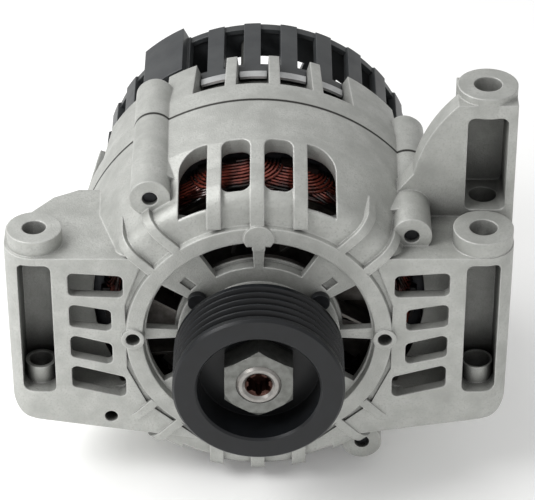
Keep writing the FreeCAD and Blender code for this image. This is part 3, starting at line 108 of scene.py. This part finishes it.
# Finishes. The tone drifts in clouds between two colours. Relief is a grain, marks turned round the
# shaft, or a ridge at each ridgeMm along it. The photograph shows nothing under 0.35 mm, so blast grain,
# turning marks and sheet edges, which are finer in reality, are drawn two to three times too coarse.
# rough is how much the roughness varies, edgeMm how wide the pale edges are, which are part wear and
# part painted highlight, and creviceMm how far from a wall its painted shade reaches.

finishes = {
    # A380 aluminium, die cast and bead blasted: pale, matt, sandy, with brighter edges (part wear, part
    # painted highlight), fine dark specks, painted shade in pockets and a dark line of painted shade
    # along the joint, which lies seamShiftMm behind the front housing's end
    "castAluminium": {"colour": "#B5B6B2", "cloudColour": "#A1A29E", "cloudMm": 9.0, "metallic": 0.45,
                      "roughness": 0.52, "grainMm": 0.6, "grainDepthMm": 0.16, "rough": 0.14,
                      "speckColour": "#A3A4A0", "speckMm": 0.8, "edgeWearAndHighlightColour": "#D6D6D3", "edgeMm": 0.9,
                      "paintedShadeColour": "#242422", "creviceMm": 18.0, "creviceSpan": (0.12, 0.58),
                      "seamShadeColour": "#24231F", "seamShiftMm": 0.15, "seamHalfMm": 0.75},
    # nylon 66 with glass, injection moulded: dark grey, satin, faintly clouded
    "mouldedNylon": {"colour": "#3A3C3D", "cloudColour": "#303234", "cloudMm": 9.0, "metallic": 0.0,
                     "roughness": 0.40, "grainMm": 0.6, "grainDepthMm": 0.02, "rough": 0.14,
                     "edgeWearAndHighlightColour": "#5C5F61", "edgeMm": 0.5, "paintedShadeColour": "#141516", "creviceMm": 2.5},
    # steel, turned, then dip painted black: blue-black and satin, turning marks just showing
    "dipPaintedSteel": {"colour": "#0F1012", "cloudColour": "#15171A", "cloudMm": 6.0, "metallic": 0.0,
                        "roughness": 0.38, "turningMm": 0.5, "grainDepthMm": 0.01, "rough": 0.10,
                        "shine": 0.34, "edgeWearAndHighlightColour": "#3A3F44", "edgeMm": 0.3,
                        "paintedShadeColour": "#010101", "creviceMm": 7.0},
    # steel, zinc plated and passivated: cool mid grey, slightly patchy
    "zincPlate": {"colour": "#787976", "cloudColour": "#62635F", "cloudMm": 2.5, "metallic": 0.7,
                  "roughness": 0.40, "grainMm": 0.5, "grainDepthMm": 0.01, "rough": 0.16,
                  "edgeWearAndHighlightColour": "#A9AAA8", "edgeMm": 0.35, "paintedShadeColour": "#1E1E1D", "creviceMm": 3.0},
    # zinc plate on a cut thread: paler, with a ridge each turn
    "zincThread": {"colour": "#8F908E", "cloudColour": "#777876", "cloudMm": 2.5, "metallic": 0.9,
                   "roughness": 0.38, "ridgeMm": 1.0, "grainDepthMm": 0.25, "rough": 0.14},
    # bearing steel, ground: bright, with a tight sheen, and rusty in the drive socket at the shaft's
    # front end, within rustRadiusMm of the axis and in front of rustBackMm
    "groundSteel": {"colour": "#9A9895", "cloudColour": "#84817D", "cloudMm": 3.0, "metallic": 0.9,
                    "roughness": 0.36, "turningMm": 0.35, "grainDepthMm": 0.004, "rough": 0.12,
                    "edgeWearAndHighlightColour": "#A5A29D", "edgeMm": 0.25, "paintedShadeColour": "#3A2519", "creviceMm": 2.0,
                    "rustColour": "#47302A", "rustRadiusMm": 4.9, "rustBackMm": -0.5},
    # steel screws and bolts, phosphated: charcoal and dry
    "phosphatedSteel": {"colour": "#1C1D1F", "cloudColour": "#2A2B2E", "cloudMm": 1.8, "metallic": 0.6,
                        "roughness": 0.42, "grainMm": 0.4, "grainDepthMm": 0.012, "rough": 0.12,
                        "edgeWearAndHighlightColour": "#4A4C4F", "edgeMm": 0.25},
    # sheet steel, pressed and oiled: mid grey, darker where the oil dried
    "pressedSheet": {"colour": "#6A6764", "cloudColour": "#4A4643", "cloudMm": 4.0, "metallic": 0.9,
                     "roughness": 0.42, "grainMm": 0.6, "grainDepthMm": 0.01, "rough": 0.16,
                     "edgeWearAndHighlightColour": "#A0A1A0", "edgeMm": 0.2, "paintedShadeColour": "#1D1D1C", "creviceMm": 3.0},
    # low carbon steel, forged and dipped in varnish: brown-grey and uneven
    "forgedSteel": {"colour": "#4F4A45", "cloudColour": "#35312E", "cloudMm": 5.0, "metallic": 0.8,
                    "roughness": 0.44, "grainMm": 0.9, "grainDepthMm": 0.04, "rough": 0.2,
                    "edgeWearAndHighlightColour": "#77716A", "edgeMm": 0.4, "paintedShadeColour": "#120F0D", "creviceMm": 3.0},
    # silicon steel sheets, stacked and varnished: dark, with the edge of each sheet showing
    "stackedSheets": {"colour": "#3F4043", "cloudColour": "#232427", "cloudMm": 6.0, "metallic": 0.8,
                      "roughness": 0.42, "ridgeMm": 1.0, "grainDepthMm": 0.03, "rough": 0.12,
                      "paintedShadeColour": "#0C0C0D", "creviceMm": 3.0},
    # copper wire, enamelled: red-brown and glossy. Beyond the core's end its black varnish thins out
    # between the first two distances of bareMm. Between the last two the wire turns black again towards
    # the crowns, as painted shade of the winding's shadowed front.
    "enamelledWire": {"colour": "#C4604F", "cloudColour": "#2A0F0B", "cloudMm": 4.5, "metallic": 0.5,
                      "roughness": 0.22, "grainMm": 1.5, "grainDepthMm": 0.02, "rough": 0.12,
                      "coat": 0.9, "paintedShadeColour": "#0D0605", "creviceMm": 1.6,
                      "varnishAndShadeColour": "#0E0A09", "bareMm": (1.0, 4.0, 8.0, 11.8)},
    # the same wire under the varnish of the inner layer, darkened further with painted shade: nearly black
    # with a red cast
    "varnishedAndShadedWire": {"colour": "#4A1D17", "cloudColour": "#120B09", "cloudMm": 2.5, "metallic": 0.3,
                      "roughness": 0.24, "grainMm": 1.2, "grainDepthMm": 0.03, "rough": 0.14,
                      "coat": 0.7, "paintedShadeColour": "#060404", "creviceMm": 1.6},
    # insulating varnish over paper: black and lumpy
    "blackVarnish": {"colour": "#0E0C0B", "cloudColour": "#1B1310", "cloudMm": 3.0, "metallic": 0.0,
                     "roughness": 0.42, "grainMm": 2.0, "grainDepthMm": 0.15, "rough": 0.14,
                     "shine": 0.3},
    # slip ring copper, turned and run in: warm and bright, with circular tracks
    "turnedCopper": {"colour": "#C88A5E", "cloudColour": "#8F5A3A", "cloudMm": 3.0, "metallic": 1.0,
                     "roughness": 0.26, "turningMm": 0.5, "grainDepthMm": 0.01, "rough": 0.1},
    # nitrile rubber, moulded: black and soft looking
    "nitrileRubber": {"colour": "#17181A", "cloudColour": "#222427", "cloudMm": 3.0, "metallic": 0.0,
                      "roughness": 0.6, "grainMm": 0.4, "grainDepthMm": 0.01, "rough": 0.12},
    # phenolic and PBT, moulded: black, slightly glossy
    "phenolicMoulding": {"colour": "#1B1C1E", "cloudColour": "#2B2D30", "cloudMm": 5.0, "metallic": 0.0,
                         "roughness": 0.38, "grainMm": 0.5, "grainDepthMm": 0.015, "rough": 0.14,
                         "edgeWearAndHighlightColour": "#3F4246", "edgeMm": 0.35, "paintedShadeColour": "#070708",
                         "creviceMm": 2.0},
    # natural nylon, moulded: creamy
    "naturalNylon": {"colour": "#CFC7AE", "cloudColour": "#B9AF92", "cloudMm": 3.0, "metallic": 0.0,
                     "roughness": 0.42, "grainMm": 0.5, "grainDepthMm": 0.01, "rough": 0.1},
    # rolled aluminium plate: bright and smooth, duller in patches
    "rolledAluminium": {"colour": "#C9CACA", "cloudColour": "#B0B1B1", "cloudMm": 5.0, "metallic": 0.6,
                        "roughness": 0.34, "grainMm": 0.8, "grainDepthMm": 0.01, "rough": 0.16,
                        "paintedShadeColour": "#3B3C3D", "creviceMm": 2.5},
    # nickel plate on diode cups: warm grey
    "nickelPlate": {"colour": "#B3ADA2", "cloudColour": "#8F8A80", "cloudMm": 2.0, "metallic": 1.0,
                    "roughness": 0.28, "grainMm": 0.4, "grainDepthMm": 0.006, "rough": 0.12},
    # copper graphite, pressed and sintered: dark with a faint metal glint
    "copperGraphite": {"colour": "#3A3432", "cloudColour": "#262322", "cloudMm": 1.2, "metallic": 0.5,
                       "roughness": 0.55, "grainMm": 0.3, "grainDepthMm": 0.02, "rough": 0.12},
    # spring wire, drawn: grey and smooth
    "springWire": {"colour": "#8C8D8F", "cloudColour": "#6E6F71", "cloudMm": 2.0, "metallic": 1.0,
                   "roughness": 0.30, "grainMm": 0.3, "grainDepthMm": 0.01, "rough": 0.1},
    # tinned brass pins: pale and soft in shine
    "tinnedBrass": {"colour": "#C9C7C0", "cloudColour": "#A8A69E", "cloudMm": 1.5, "metallic": 1.0,
                    "roughness": 0.30, "grainMm": 0.4, "grainDepthMm": 0.004, "rough": 0.1},
}

# How all finishes are drawn. A span names where a pattern starts and where it is full.
patternLook = {
    "cloudDetail": 5.0, "cloudRoughness": 0.6, "cloudSpan": (0.35, 0.68),  # of the noise's height
    "speckDetail": 2.0, "speckSpan": (0.52, 0.70), "turningDetail": 2.0, "grainDetail": 3.0,
    "grainRoughness": 0.55, "coatRoughness": 0.12,
    "edgeSpan": (0.99, 0.80), "edgeShare": 0.7,  # cosine of the bend, and how much of the edge's colour
    "creviceSpan": (0.25, 0.85),  # shares of open surroundings: all shade, and none
    "seamSpan": (1.3, 0.6),  # shares of the joint line's half width
    "varnishAndShadeWaveMm": 5.0, "samples": 6,
}
colourA, colourB, blended = 6, 7, 2  # the Mix node's sockets for two colours and their blend


def cloudedColour(tree, look, inMm, cloud):
    # soft clouds between two colours, and on castings fine specks
    start, full = patternLook["cloudSpan"]
    tone = addNode(tree, "ShaderNodeMapRange", {"From Min": start, "From Max": full}, {"Value": cloud})
    colour = addNode(tree, "ShaderNodeMix", {colourA: toLinear(look["colour"]),
                                             colourB: toLinear(look["cloudColour"])},
                     {"Factor": tone.outputs[0]}, data_type="RGBA").outputs[blended]
    if "speckColour" not in look:
        return colour
    speck = addNode(tree, "ShaderNodeTexNoise", {"Scale": 1 / look["speckMm"],
                                                 "Detail": patternLook["speckDetail"]}, {"Vector": inMm})
    start, full = patternLook["speckSpan"]
    spots = addNode(tree, "ShaderNodeMapRange", {"From Min": start, "From Max": full},
                    {"Value": speck.outputs["Fac"]})
    return addNode(tree, "ShaderNodeMix", {colourB: toLinear(look["speckColour"])},
                   {"Factor": spots.outputs[0], colourA: colour}, data_type="RGBA").outputs[blended]


def distanceFromShaft(tree, axes):
    across = addNode(tree, "ShaderNodeCombineXYZ", None, {"X": axes["X"], "Y": axes["Z"]})
    return addNode(tree, "ShaderNodeVectorMath", None, {0: across.outputs[0]},
                   operation="LENGTH").outputs["Value"]


def distanceAlongShaft(tree, axes, fromMm):
    offset = addNode(tree, "ShaderNodeMath", {1: fromMm}, {0: axes["Y"]}, operation="SUBTRACT")
    return addNode(tree, "ShaderNodeMath", None, {0: offset.outputs[0]}, operation="ABSOLUTE").outputs[0]


def reliefHeight(tree, look, inMm, axes):
    if "turningMm" in look:
        marks = addNode(tree, "ShaderNodeCombineXYZ", None, {"X": distanceFromShaft(tree, axes),
                                                             "Y": axes["Y"]})
        return addNode(tree, "ShaderNodeTexNoise", {"Scale": 1 / look["turningMm"],
                                                    "Detail": patternLook["turningDetail"]},
                       {"Vector": marks.outputs[0]}).outputs["Fac"]
    if "ridgeMm" in look:
        turns = addNode(tree, "ShaderNodeMath", {1: 2 * math.pi / look["ridgeMm"]}, {0: axes["Y"]},
                        operation="MULTIPLY")
        return addNode(tree, "ShaderNodeMath", None, {0: turns.outputs[0]}, operation="SINE").outputs[0]
    return addNode(tree, "ShaderNodeTexNoise", {"Scale": 1 / look["grainMm"],
                                                "Detail": patternLook["grainDetail"],
                                                "Roughness": patternLook["grainRoughness"]},
                   {"Vector": inMm}).outputs["Fac"]


def wornAndHighlightedEdges(tree, look, bump, colour):
    # edges are rounded a little and drawn brighter, partly as wear and partly as a painted highlight
    soft = addNode(tree, "ShaderNodeBevel", {"Radius": look["edgeMm"] * mm},
                   samples=patternLook["samples"]).outputs[0]
    tree.links.new(soft, bump.inputs["Normal"])
    flat = addNode(tree, "ShaderNodeNewGeometry").outputs["Normal"]
    bend = addNode(tree, "ShaderNodeVectorMath", None, {0: soft, 1: flat}, operation="DOT_PRODUCT")
    start, full = patternLook["edgeSpan"]
    edge = addNode(tree, "ShaderNodeMapRange", {"From Min": start, "From Max": full,
                                                "To Max": patternLook["edgeShare"]},
                   {"Value": bend.outputs["Value"]})
    return addNode(tree, "ShaderNodeMix", {colourB: toLinear(look["edgeWearAndHighlightColour"])},
                   {"Factor": edge.outputs[0], colourA: colour}, data_type="RGBA").outputs[blended]


def shadedCrevices(tree, look, colour):
    # painted shade: the colour darkens where nearby walls close a surface in
    hollow = addNode(tree, "ShaderNodeAmbientOcclusion", {"Distance": look["creviceMm"] * mm},
                     samples=patternLook["samples"])
    shut, clear = look.get("creviceSpan", patternLook["creviceSpan"])
    exposed = addNode(tree, "ShaderNodeMapRange", {"From Min": shut, "From Max": clear},
                      {"Value": hollow.outputs["AO"]})
    return addNode(tree, "ShaderNodeMix", {colourA: toLinear(look["paintedShadeColour"])},
                   {"Factor": exposed.outputs[0], colourB: colour}, data_type="RGBA").outputs[blended]


def paintedSeamShade(tree, look, axes, colour):
    # painted shade: a dark band along the housings' joint stands in for the shade in its gap
    away = distanceAlongShaft(tree, axes, housingJointMm + look["seamShiftMm"])
    start, full = patternLook["seamSpan"]
    seam = addNode(tree, "ShaderNodeMapRange", {"From Min": look["seamHalfMm"] * start,
                                                "From Max": look["seamHalfMm"] * full}, {"Value": away})
    return addNode(tree, "ShaderNodeMix", {colourB: toLinear(look["seamShadeColour"])},
                   {"Factor": seam.outputs[0], colourA: colour}, data_type="RGBA").outputs[blended]


def varnishAndCrownShade(tree, look, axes, cloud, colour):
    # varnish is thick near the core, and towards the crowns the colour darkens again as painted shade;
    # between them the enamel shows
    away = distanceAlongShaft(tree, axes, coreMiddleMm)
    wave = patternLook["varnishAndShadeWaveMm"]
    uneven = addNode(tree, "ShaderNodeMath", {1: wave, 2: -wave / 2}, {0: cloud}, operation="MULTIPLY_ADD")
    reach = addNode(tree, "ShaderNodeMath", None, {0: away, 1: uneven.outputs[0]}, operation="ADD")
    thins, clear, crownShadeStarts, crownShadeFull = (coreHalfMm + distance for distance in look["bareMm"])
    inner = addNode(tree, "ShaderNodeMapRange", {"From Min": thins, "From Max": clear},
                    {"Value": reach.outputs[0]})
    outer = addNode(tree, "ShaderNodeMapRange", {"From Min": crownShadeFull, "From Max": crownShadeStarts},
                    {"Value": reach.outputs[0]})
    bare = addNode(tree, "ShaderNodeMath", None, {0: inner.outputs[0], 1: outer.outputs[0]},
                   operation="MULTIPLY")
    return addNode(tree, "ShaderNodeMix", {colourA: toLinear(look["varnishAndShadeColour"])},
                   {"Factor": bare.outputs[0], colourB: colour}, data_type="RGBA").outputs[blended]


def rustySocket(tree, look, axes, colour):
    near = addNode(tree, "ShaderNodeMath", {1: look["rustRadiusMm"]}, {0: distanceFromShaft(tree, axes)},
                   operation="LESS_THAN")
    front = addNode(tree, "ShaderNodeMath", {1: look["rustBackMm"]}, {0: axes["Y"]}, operation="LESS_THAN")
    both = addNode(tree, "ShaderNodeMath", None, {0: near.outputs[0], 1: front.outputs[0]},
                   operation="MULTIPLY")
    return addNode(tree, "ShaderNodeMix", {colourB: toLinear(look["rustColour"])},
                   {"Factor": both.outputs[0], colourA: colour}, data_type="RGBA").outputs[blended]


def makeFinish(name, look):
    material = bpy.data.materials.new(name)
    material.use_nodes = True
    tree = material.node_tree
    shader = tree.nodes["Principled BSDF"]
    shader.inputs["Metallic"].default_value = look["metallic"]
    if "shine" in look:
        shader.inputs["Specular IOR Level"].default_value = look["shine"]
    if "coat" in look:
        shader.inputs["Coat Weight"].default_value = look["coat"]
        shader.inputs["Coat Roughness"].default_value = patternLook["coatRoughness"]
    place = addNode(tree, "ShaderNodeTexCoord").outputs["Object"]
    inMm = addNode(tree, "ShaderNodeVectorMath", {"Scale": 1 / mm}, {0: place}, operation="SCALE").outputs[0]
    axes = addNode(tree, "ShaderNodeSeparateXYZ", None, {0: inMm}).outputs
    cloud = addNode(tree, "ShaderNodeTexNoise", {"Scale": 1 / look["cloudMm"],
                                                 "Detail": patternLook["cloudDetail"],
                                                 "Roughness": patternLook["cloudRoughness"]},
                    {"Vector": inMm}).outputs["Fac"]
    bump = addNode(tree, "ShaderNodeBump", {"Strength": 1.0, "Distance": look["grainDepthMm"] * mm},
                   {"Height": reliefHeight(tree, look, inMm, axes)})
    dull = addNode(tree, "ShaderNodeMapRange", {"To Min": look["roughness"] - look["rough"] / 2,
                                                "To Max": look["roughness"] + look["rough"] / 2},
                   {"Value": cloud})
    colour = cloudedColour(tree, look, inMm, cloud)
    if "edgeWearAndHighlightColour" in look:
        colour = wornAndHighlightedEdges(tree, look, bump, colour)
    if "paintedShadeColour" in look:
        colour = shadedCrevices(tree, look, colour)
    if "seamShadeColour" in look:
        colour = paintedSeamShade(tree, look, axes, colour)
    if "varnishAndShadeColour" in look:
        colour = varnishAndCrownShade(tree, look, axes, cloud, colour)
    if "rustColour" in look:
        colour = rustySocket(tree, look, axes, colour)
    tree.links.new(bump.outputs[0], shader.inputs["Normal"])
    tree.links.new(dull.outputs[0], shader.inputs["Roughness"])
    tree.links.new(colour, shader.inputs["Base Color"])
    return material


materials = {name: makeFinish(name, look) for name, look in finishes.items()}

finishOfSlot = {
    "cast_aluminium": "castAluminium", "cover_plastic": "mouldedNylon", "pulley_steel": "dipPaintedSteel",
    "zinc_steel": "zincPlate", "ground_steel": "groundSteel", "black_screw_steel": "phosphatedSteel",
    "plate_steel": "pressedSheet", "pole_steel": "forgedSteel", "core_laminations": "stackedSheets",
    "enamelled_copper": "enamelledWire", "slip_copper": "turnedCopper", "seal_rubber": "nitrileRubber",
    "inner_plastic": "phenolicMoulding", "cage_plastic": "naturalNylon",
    "heat_sink_aluminium": "rolledAluminium", "diode_nickel": "nickelPlate", "carbon": "copperGraphite",
    "spring_steel": "springWire", "pin_tin": "tinnedBrass",
}
finishOfNode = {"output_stud": "zincThread", "through_bolts": "phosphatedSteel"}  # not their slot's finish
slotOfNode = {entry["node"]: entry["material_slot"] for entry in frame["record"]["subparts"]}
for name, item in nodes.items():
    item.data.materials.clear()
    item.data.materials.append(materials[finishOfNode.get(name, finishOfSlot[slotOfNode[name]])])
print("finishes made:", len(materials))


def joinPiece(name, body, finish, build, smooth=True):
    mesh = bpy.data.meshes.new(name)
    form = bmesh.new()
    build(form)
    bmesh.ops.recalc_face_normals(form, faces=form.faces)
    form.to_mesh(mesh)
    form.free()
    piece = bpy.data.objects.new(name, mesh)
    scene.collection.objects.link(piece)
    mesh.materials.append(materials[finish])
    for face in mesh.polygons:
        face.use_smooth = smooth
    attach(piece, body)
    return piece


def aroundShaft(radiusMm, turn, alongMm):
    return Vector((radiusMm * math.cos(turn), alongMm, radiusMm * math.sin(turn))) * mm


def addSkin(form, loops, closed=False):
    # faces from each loop of corners to the next; a row that isn't closed gets a lid at both ends
    followers = loops[1:] + loops[:1] if closed else loops[1:]
    for first, second in zip(loops, followers):
        for k in range(len(first)):
            n = (k + 1) % len(first)
            form.faces.new((first[k], first[n], second[n], second[k]))
    if not closed:
        form.faces.new(list(reversed(loops[0])))
        form.faces.new(loops[-1])


def addTube(form, path, radius, sides):
    nearUpright = 0.1  # sine of the angle under which a stretch needs another side direction
    rings = []
    for index, point in enumerate(path):
        ahead = path[min(index + 1, len(path) - 1)] - path[max(index - 1, 0)]
        ahead.normalize()
        side = ahead.cross(Vector((0, 0, 1)))
        if side.length < nearUpright:
            side = ahead.cross(Vector((1, 0, 0)))
        side.normalize()
        up = side.cross(ahead)
        rings.append([form.verts.new(point + (side * math.cos(2 * math.pi * k / sides)
                                              + up * math.sin(2 * math.pi * k / sides)) * radius)
                      for k in range(sides)])
    addSkin(form, rings)


# Winding: each arch leaves one slot, crosses over and enters the third slot on. Its wires lie side by
# side, nested like the bands of a rainbow, and lean in towards the crown. The three phases lie one
# under the other. The outer layer is bare enamel, the inner one is varnished and darkened with painted
# shade. Feet start just inside the core, and the tallest crown stays just inside the solid winding.
# strayMm and strayDegrees are the most that a wire strays from its place.

archLook = {
    "slots": 36, "spanSlots": 3, "pitchSlots": 2, "wires": 9, "wireRadiusMm": 0.58, "points": 15, "sides": 6,
    "footSinkMm": 0.1, "crownGapMm": 0.02, "wireStepMm": 1.34, "footSpreadDegrees": 2.4,
    "footStepDegrees": 1.40, "strayDegrees": 0.3, "strayMm": 0.28, "squareness": 0.80, "leadDegrees": 3.5,
    "phases": 3, "topArch": 4, "phaseDropMm": 1.0, "seed": 7,
}
layers = {
    "outer_end_turns": {"finish": "enamelledWire", "firstSlot": 0, "fromMm": 56.9, "toMm": 56.4,
                        "leanMm": 3.5},
    "inner_end_turns": {"finish": "varnishedAndShadedWire", "firstSlot": 1, "fromMm": 53.6, "toMm": 53.0,
                        "leanMm": 0.8},
}


def archPath(layer, way, number, wire):
    look = archLook
    slotDegrees = 360 / look["slots"]
    middle = (slotDegrees * (layer["firstSlot"] + look["pitchSlots"] * number + look["spanSlots"] / 2)
              + look["leadDegrees"])
    half = (slotDegrees * look["spanSlots"] / 2 + look["footSpreadDegrees"]
            - look["footStepDegrees"] * wire - look["strayDegrees"] * random.random())
    foot = coreHalfMm - look["footSinkMm"]
    crown = (windingReachMm - look["wireRadiusMm"] - look["crownGapMm"]
             - look["wireStepMm"] * wire - look["strayMm"] * random.random())
    phase = (look["topArch"] - number) % look["phases"]
    inward = look["phaseDropMm"] * phase + look["strayMm"] * random.random()
    lean = layer["leanMm"] * (1 - wire / (look["wires"] - 1))
    points = []
    for step in range(look["points"]):
        t = step / (look["points"] - 1)
        turn = math.radians(middle - half * math.cos(math.pi * t))
        rise = math.sin(math.pi * t) ** look["squareness"]
        radius = layer["fromMm"] + (layer["toMm"] - layer["fromMm"]) * t - inward - lean * rise
        points.append(aroundShaft(radius, turn, coreMiddleMm + way * (foot + (crown - foot) * rise)))
    return points


def endTurns(layer):
    def build(form):
        for way in (-1, 1):
            for number in range(archLook["slots"] // archLook["pitchSlots"]):
                for wire in range(archLook["wires"]):
                    addTube(form, archPath(layer, way, number, wire), archLook["wireRadiusMm"] * mm,
                            archLook["sides"])
    return build


# Slot bars in their liners, and the varnish-filled ring under the end turns. The ring's outline has
# pairs of distance beyond the core's end and radius; its points beyond waveFromMm follow the arches.

coreLook = {
    "slots": 36, "barHalfMm": 1.95, "barInnerMm": 50.2, "barOuterMm": 57.2, "barProudMm": 2.4,
    "ringMm": [(0.2, 49.8), (4.5, 49.4), (6.2, 49.9), (6.6, 50.7), (5.6, 51.4), (0.2, 52.4)],
    "segments": 96, "waveMm": 0.35, "waveFromMm": 4.0,
}


def addSlotBar(form, turn):
    look = coreLook
    outward = Vector((math.cos(turn), 0, math.sin(turn)))
    sideways = Vector((-math.sin(turn), 0, math.cos(turn)))
    section = [(look["barInnerMm"], -look["barHalfMm"]), (look["barOuterMm"], -look["barHalfMm"]),
               (look["barOuterMm"], look["barHalfMm"]), (look["barInnerMm"], look["barHalfMm"])]
    ends = []
    for way in (-1, 1):
        middle = Vector((0, coreMiddleMm + way * (coreHalfMm + look["barProudMm"]), 0))
        ends.append([form.verts.new((middle + outward * radius + sideways * offset) * mm)
                     for radius, offset in section])
    addSkin(form, ends)


def addVarnishRing(form, way):
    look = coreLook
    loops = []
    for segment in range(look["segments"]):
        turn = 2 * math.pi * segment / look["segments"]
        wave = look["waveMm"] * math.sin(turn * look["slots"] / 2)
        loops.append([form.verts.new(aroundShaft(radius, turn, coreMiddleMm + way * (
            coreHalfMm + beyond + (wave if beyond > look["waveFromMm"] else 0))))
                      for beyond, radius in look["ringMm"]])
    addSkin(form, loops, closed=True)


def varnishedCore(form):
    for slot in range(coreLook["slots"]):
        addSlotBar(form, 2 * math.pi * slot / coreLook["slots"])
    for way in (-1, 1):
        addVarnishRing(form, way)


random.seed(archLook["seed"])
for name, layer in layers.items():
    joinPiece(name, "housing", layer["finish"], endTurns(layer))
slotCore = joinPiece("slot_bars", "housing", "blackVarnish", varnishedCore, smooth=False)
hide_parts("stator_winding")
print("winding laid:", len(layers) + 1, "pieces")


# Brush springs: coils in place of the solid springs, held by the holder's roof

springLook = {"wireMm": 0.5, "turns": 6, "perTurn": 24, "sides": 8}


def springCoil(low, high):
    look = springLook
    wire = look["wireMm"] * mm / 2
    middle = (low + high) / 2
    radius = (high.x - low.x) / 2 - wire
    steps = look["turns"] * look["perTurn"]

    def build(form):
        path = []
        for step in range(steps + 1):
            turn = 2 * math.pi * step / look["perTurn"]
            rise = low.z + wire + (high.z - low.z - 2 * wire) * step / steps
            path.append(Vector((middle.x + radius * math.cos(turn),
                                middle.y + radius * math.sin(turn), rise)))
        addTube(form, path, wire, look["sides"])
    return build


for pole in ("positive", "negative"):
    node = "brush_spring_" + pole
    low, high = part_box(node)
    coil = joinPiece(pole + "_spring_coil", "housing", "springWire", springCoil(low, high))
    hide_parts(node)
    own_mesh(coil)
print("brush springs wound")


# Heat sink strips: the light bars seen between the fins of the rear housing. They lie on the rear
# cover's rim and reach out in front of it.

stripLook = {
    "gapMm": 0.1, "thickMm": 1.0, "aheadMm": 3.2, "overlapMm": 0.8, "middleDegrees": 85.1,
    "pitchDegrees": 13.9, "halfDegrees": 4.7, "perSide": 4, "sides": 4, "steps": 4,
}


def heatStrips(form):
    look = stripLook
    inner = coverRadiusMm + look["gapMm"]
    outer = inner + look["thickMm"]
    front = coverFrontMm - look["aheadMm"]
    back = coverFrontMm + look["overlapMm"]
    section = [(inner, front), (outer, front), (outer, back), (inner, back)]
    for number in range(look["sides"] * look["perSide"]):
        side, place = divmod(number, look["perSide"])
        middle = (look["middleDegrees"] + 360 / look["sides"] * side
                  + look["pitchDegrees"] * (place - (look["perSide"] - 1) / 2))
        loops = []
        for step in range(look["steps"] + 1):
            turn = math.radians(middle + look["halfDegrees"] * (2 * step / look["steps"] - 1))
            loops.append([form.verts.new(aroundShaft(radius, turn, along)) for radius, along in section])
        addSkin(form, loops)


joinPiece("heat_sink_strips", "housing", "rolledAluminium", heatStrips, smooth=False)
print("strips laid")


# Stage: pale floor, soft lights, camera at the photograph's place

stageLook = {"floorColour": "#FBFBFA", "floorMm": 3000, "gapMm": 0.3, "floorRoughness": 0.9,
             "paperGlow": 0.12, "skyColour": "#FFFFFF", "skyStrength": 0.55, "aimMm": (0, 40, 0)}
floorMesh = bpy.data.meshes.new("floor")
half = stageLook["floorMm"] * mm / 2
low = cadLow.z - stageLook["gapMm"] * mm
floorMesh.from_pydata([(-half, -half, low), (half, -half, low), (half, half, low), (-half, half, low)],
                      [], [(0, 1, 2, 3)])
floor = bpy.data.objects.new("floor", floorMesh)
scene.collection.objects.link(floor)
floorPaint = bpy.data.materials.new("floorPaint")
floorPaint.use_nodes = True
paper = floorPaint.node_tree.nodes["Principled BSDF"]
paper.inputs["Base Color"].default_value = toLinear(stageLook["floorColour"])
paper.inputs["Roughness"].default_value = stageLook["floorRoughness"]
paper.inputs["Emission Color"].default_value = toLinear(stageLook["floorColour"])
paper.inputs["Emission Strength"].default_value = stageLook["paperGlow"]
floorMesh.materials.append(floorPaint)

lights = {
    "keyLight": {"placeMm": (-440, -200, 470), "sizeMm": 300, "watts": 2.9},
    "topLight": {"placeMm": (-400, 220, 540), "sizeMm": 420, "watts": 2.1},
    "frontFill": {"placeMm": (260, -800, 460), "sizeMm": 700, "watts": 0.9},
}
aim = Vector(stageLook["aimMm"]) * mm
for name, look in lights.items():
    lamp = bpy.data.lights.new(name, "AREA")
    lamp.shape = "SQUARE"
    lamp.size = look["sizeMm"] * mm
    lamp.energy = look["watts"]
    item = bpy.data.objects.new(name, lamp)
    item.location = Vector(look["placeMm"]) * mm
    item.rotation_euler = (aim - item.location).to_track_quat("-Z", "Y").to_euler()
    scene.collection.objects.link(item)

world = bpy.data.worlds.new("studio")
world.use_nodes = True
sky = world.node_tree.nodes["Background"]
sky.inputs["Color"].default_value = toLinear(stageLook["skyColour"])
sky.inputs["Strength"].default_value = stageLook["skyStrength"]
scene.world = world

cameraLook = {"placeMm": (3.10, -786.2, 594.1), "lensMm": 188.4, "sensorMm": 36.0, "downDegrees": 34.6}
cameraData = bpy.data.cameras.new("camera")
cameraData.lens = cameraLook["lensMm"]
cameraData.sensor_width = cameraLook["sensorMm"]
camera = bpy.data.objects.new("camera", cameraData)
camera.location = Vector(cameraLook["placeMm"]) * mm
camera.rotation_euler = (math.radians(90 - cameraLook["downDegrees"]), 0, 0)
scene.collection.objects.link(camera)
scene.camera = camera
scene.view_settings.view_transform = "Standard"
print("stage set")
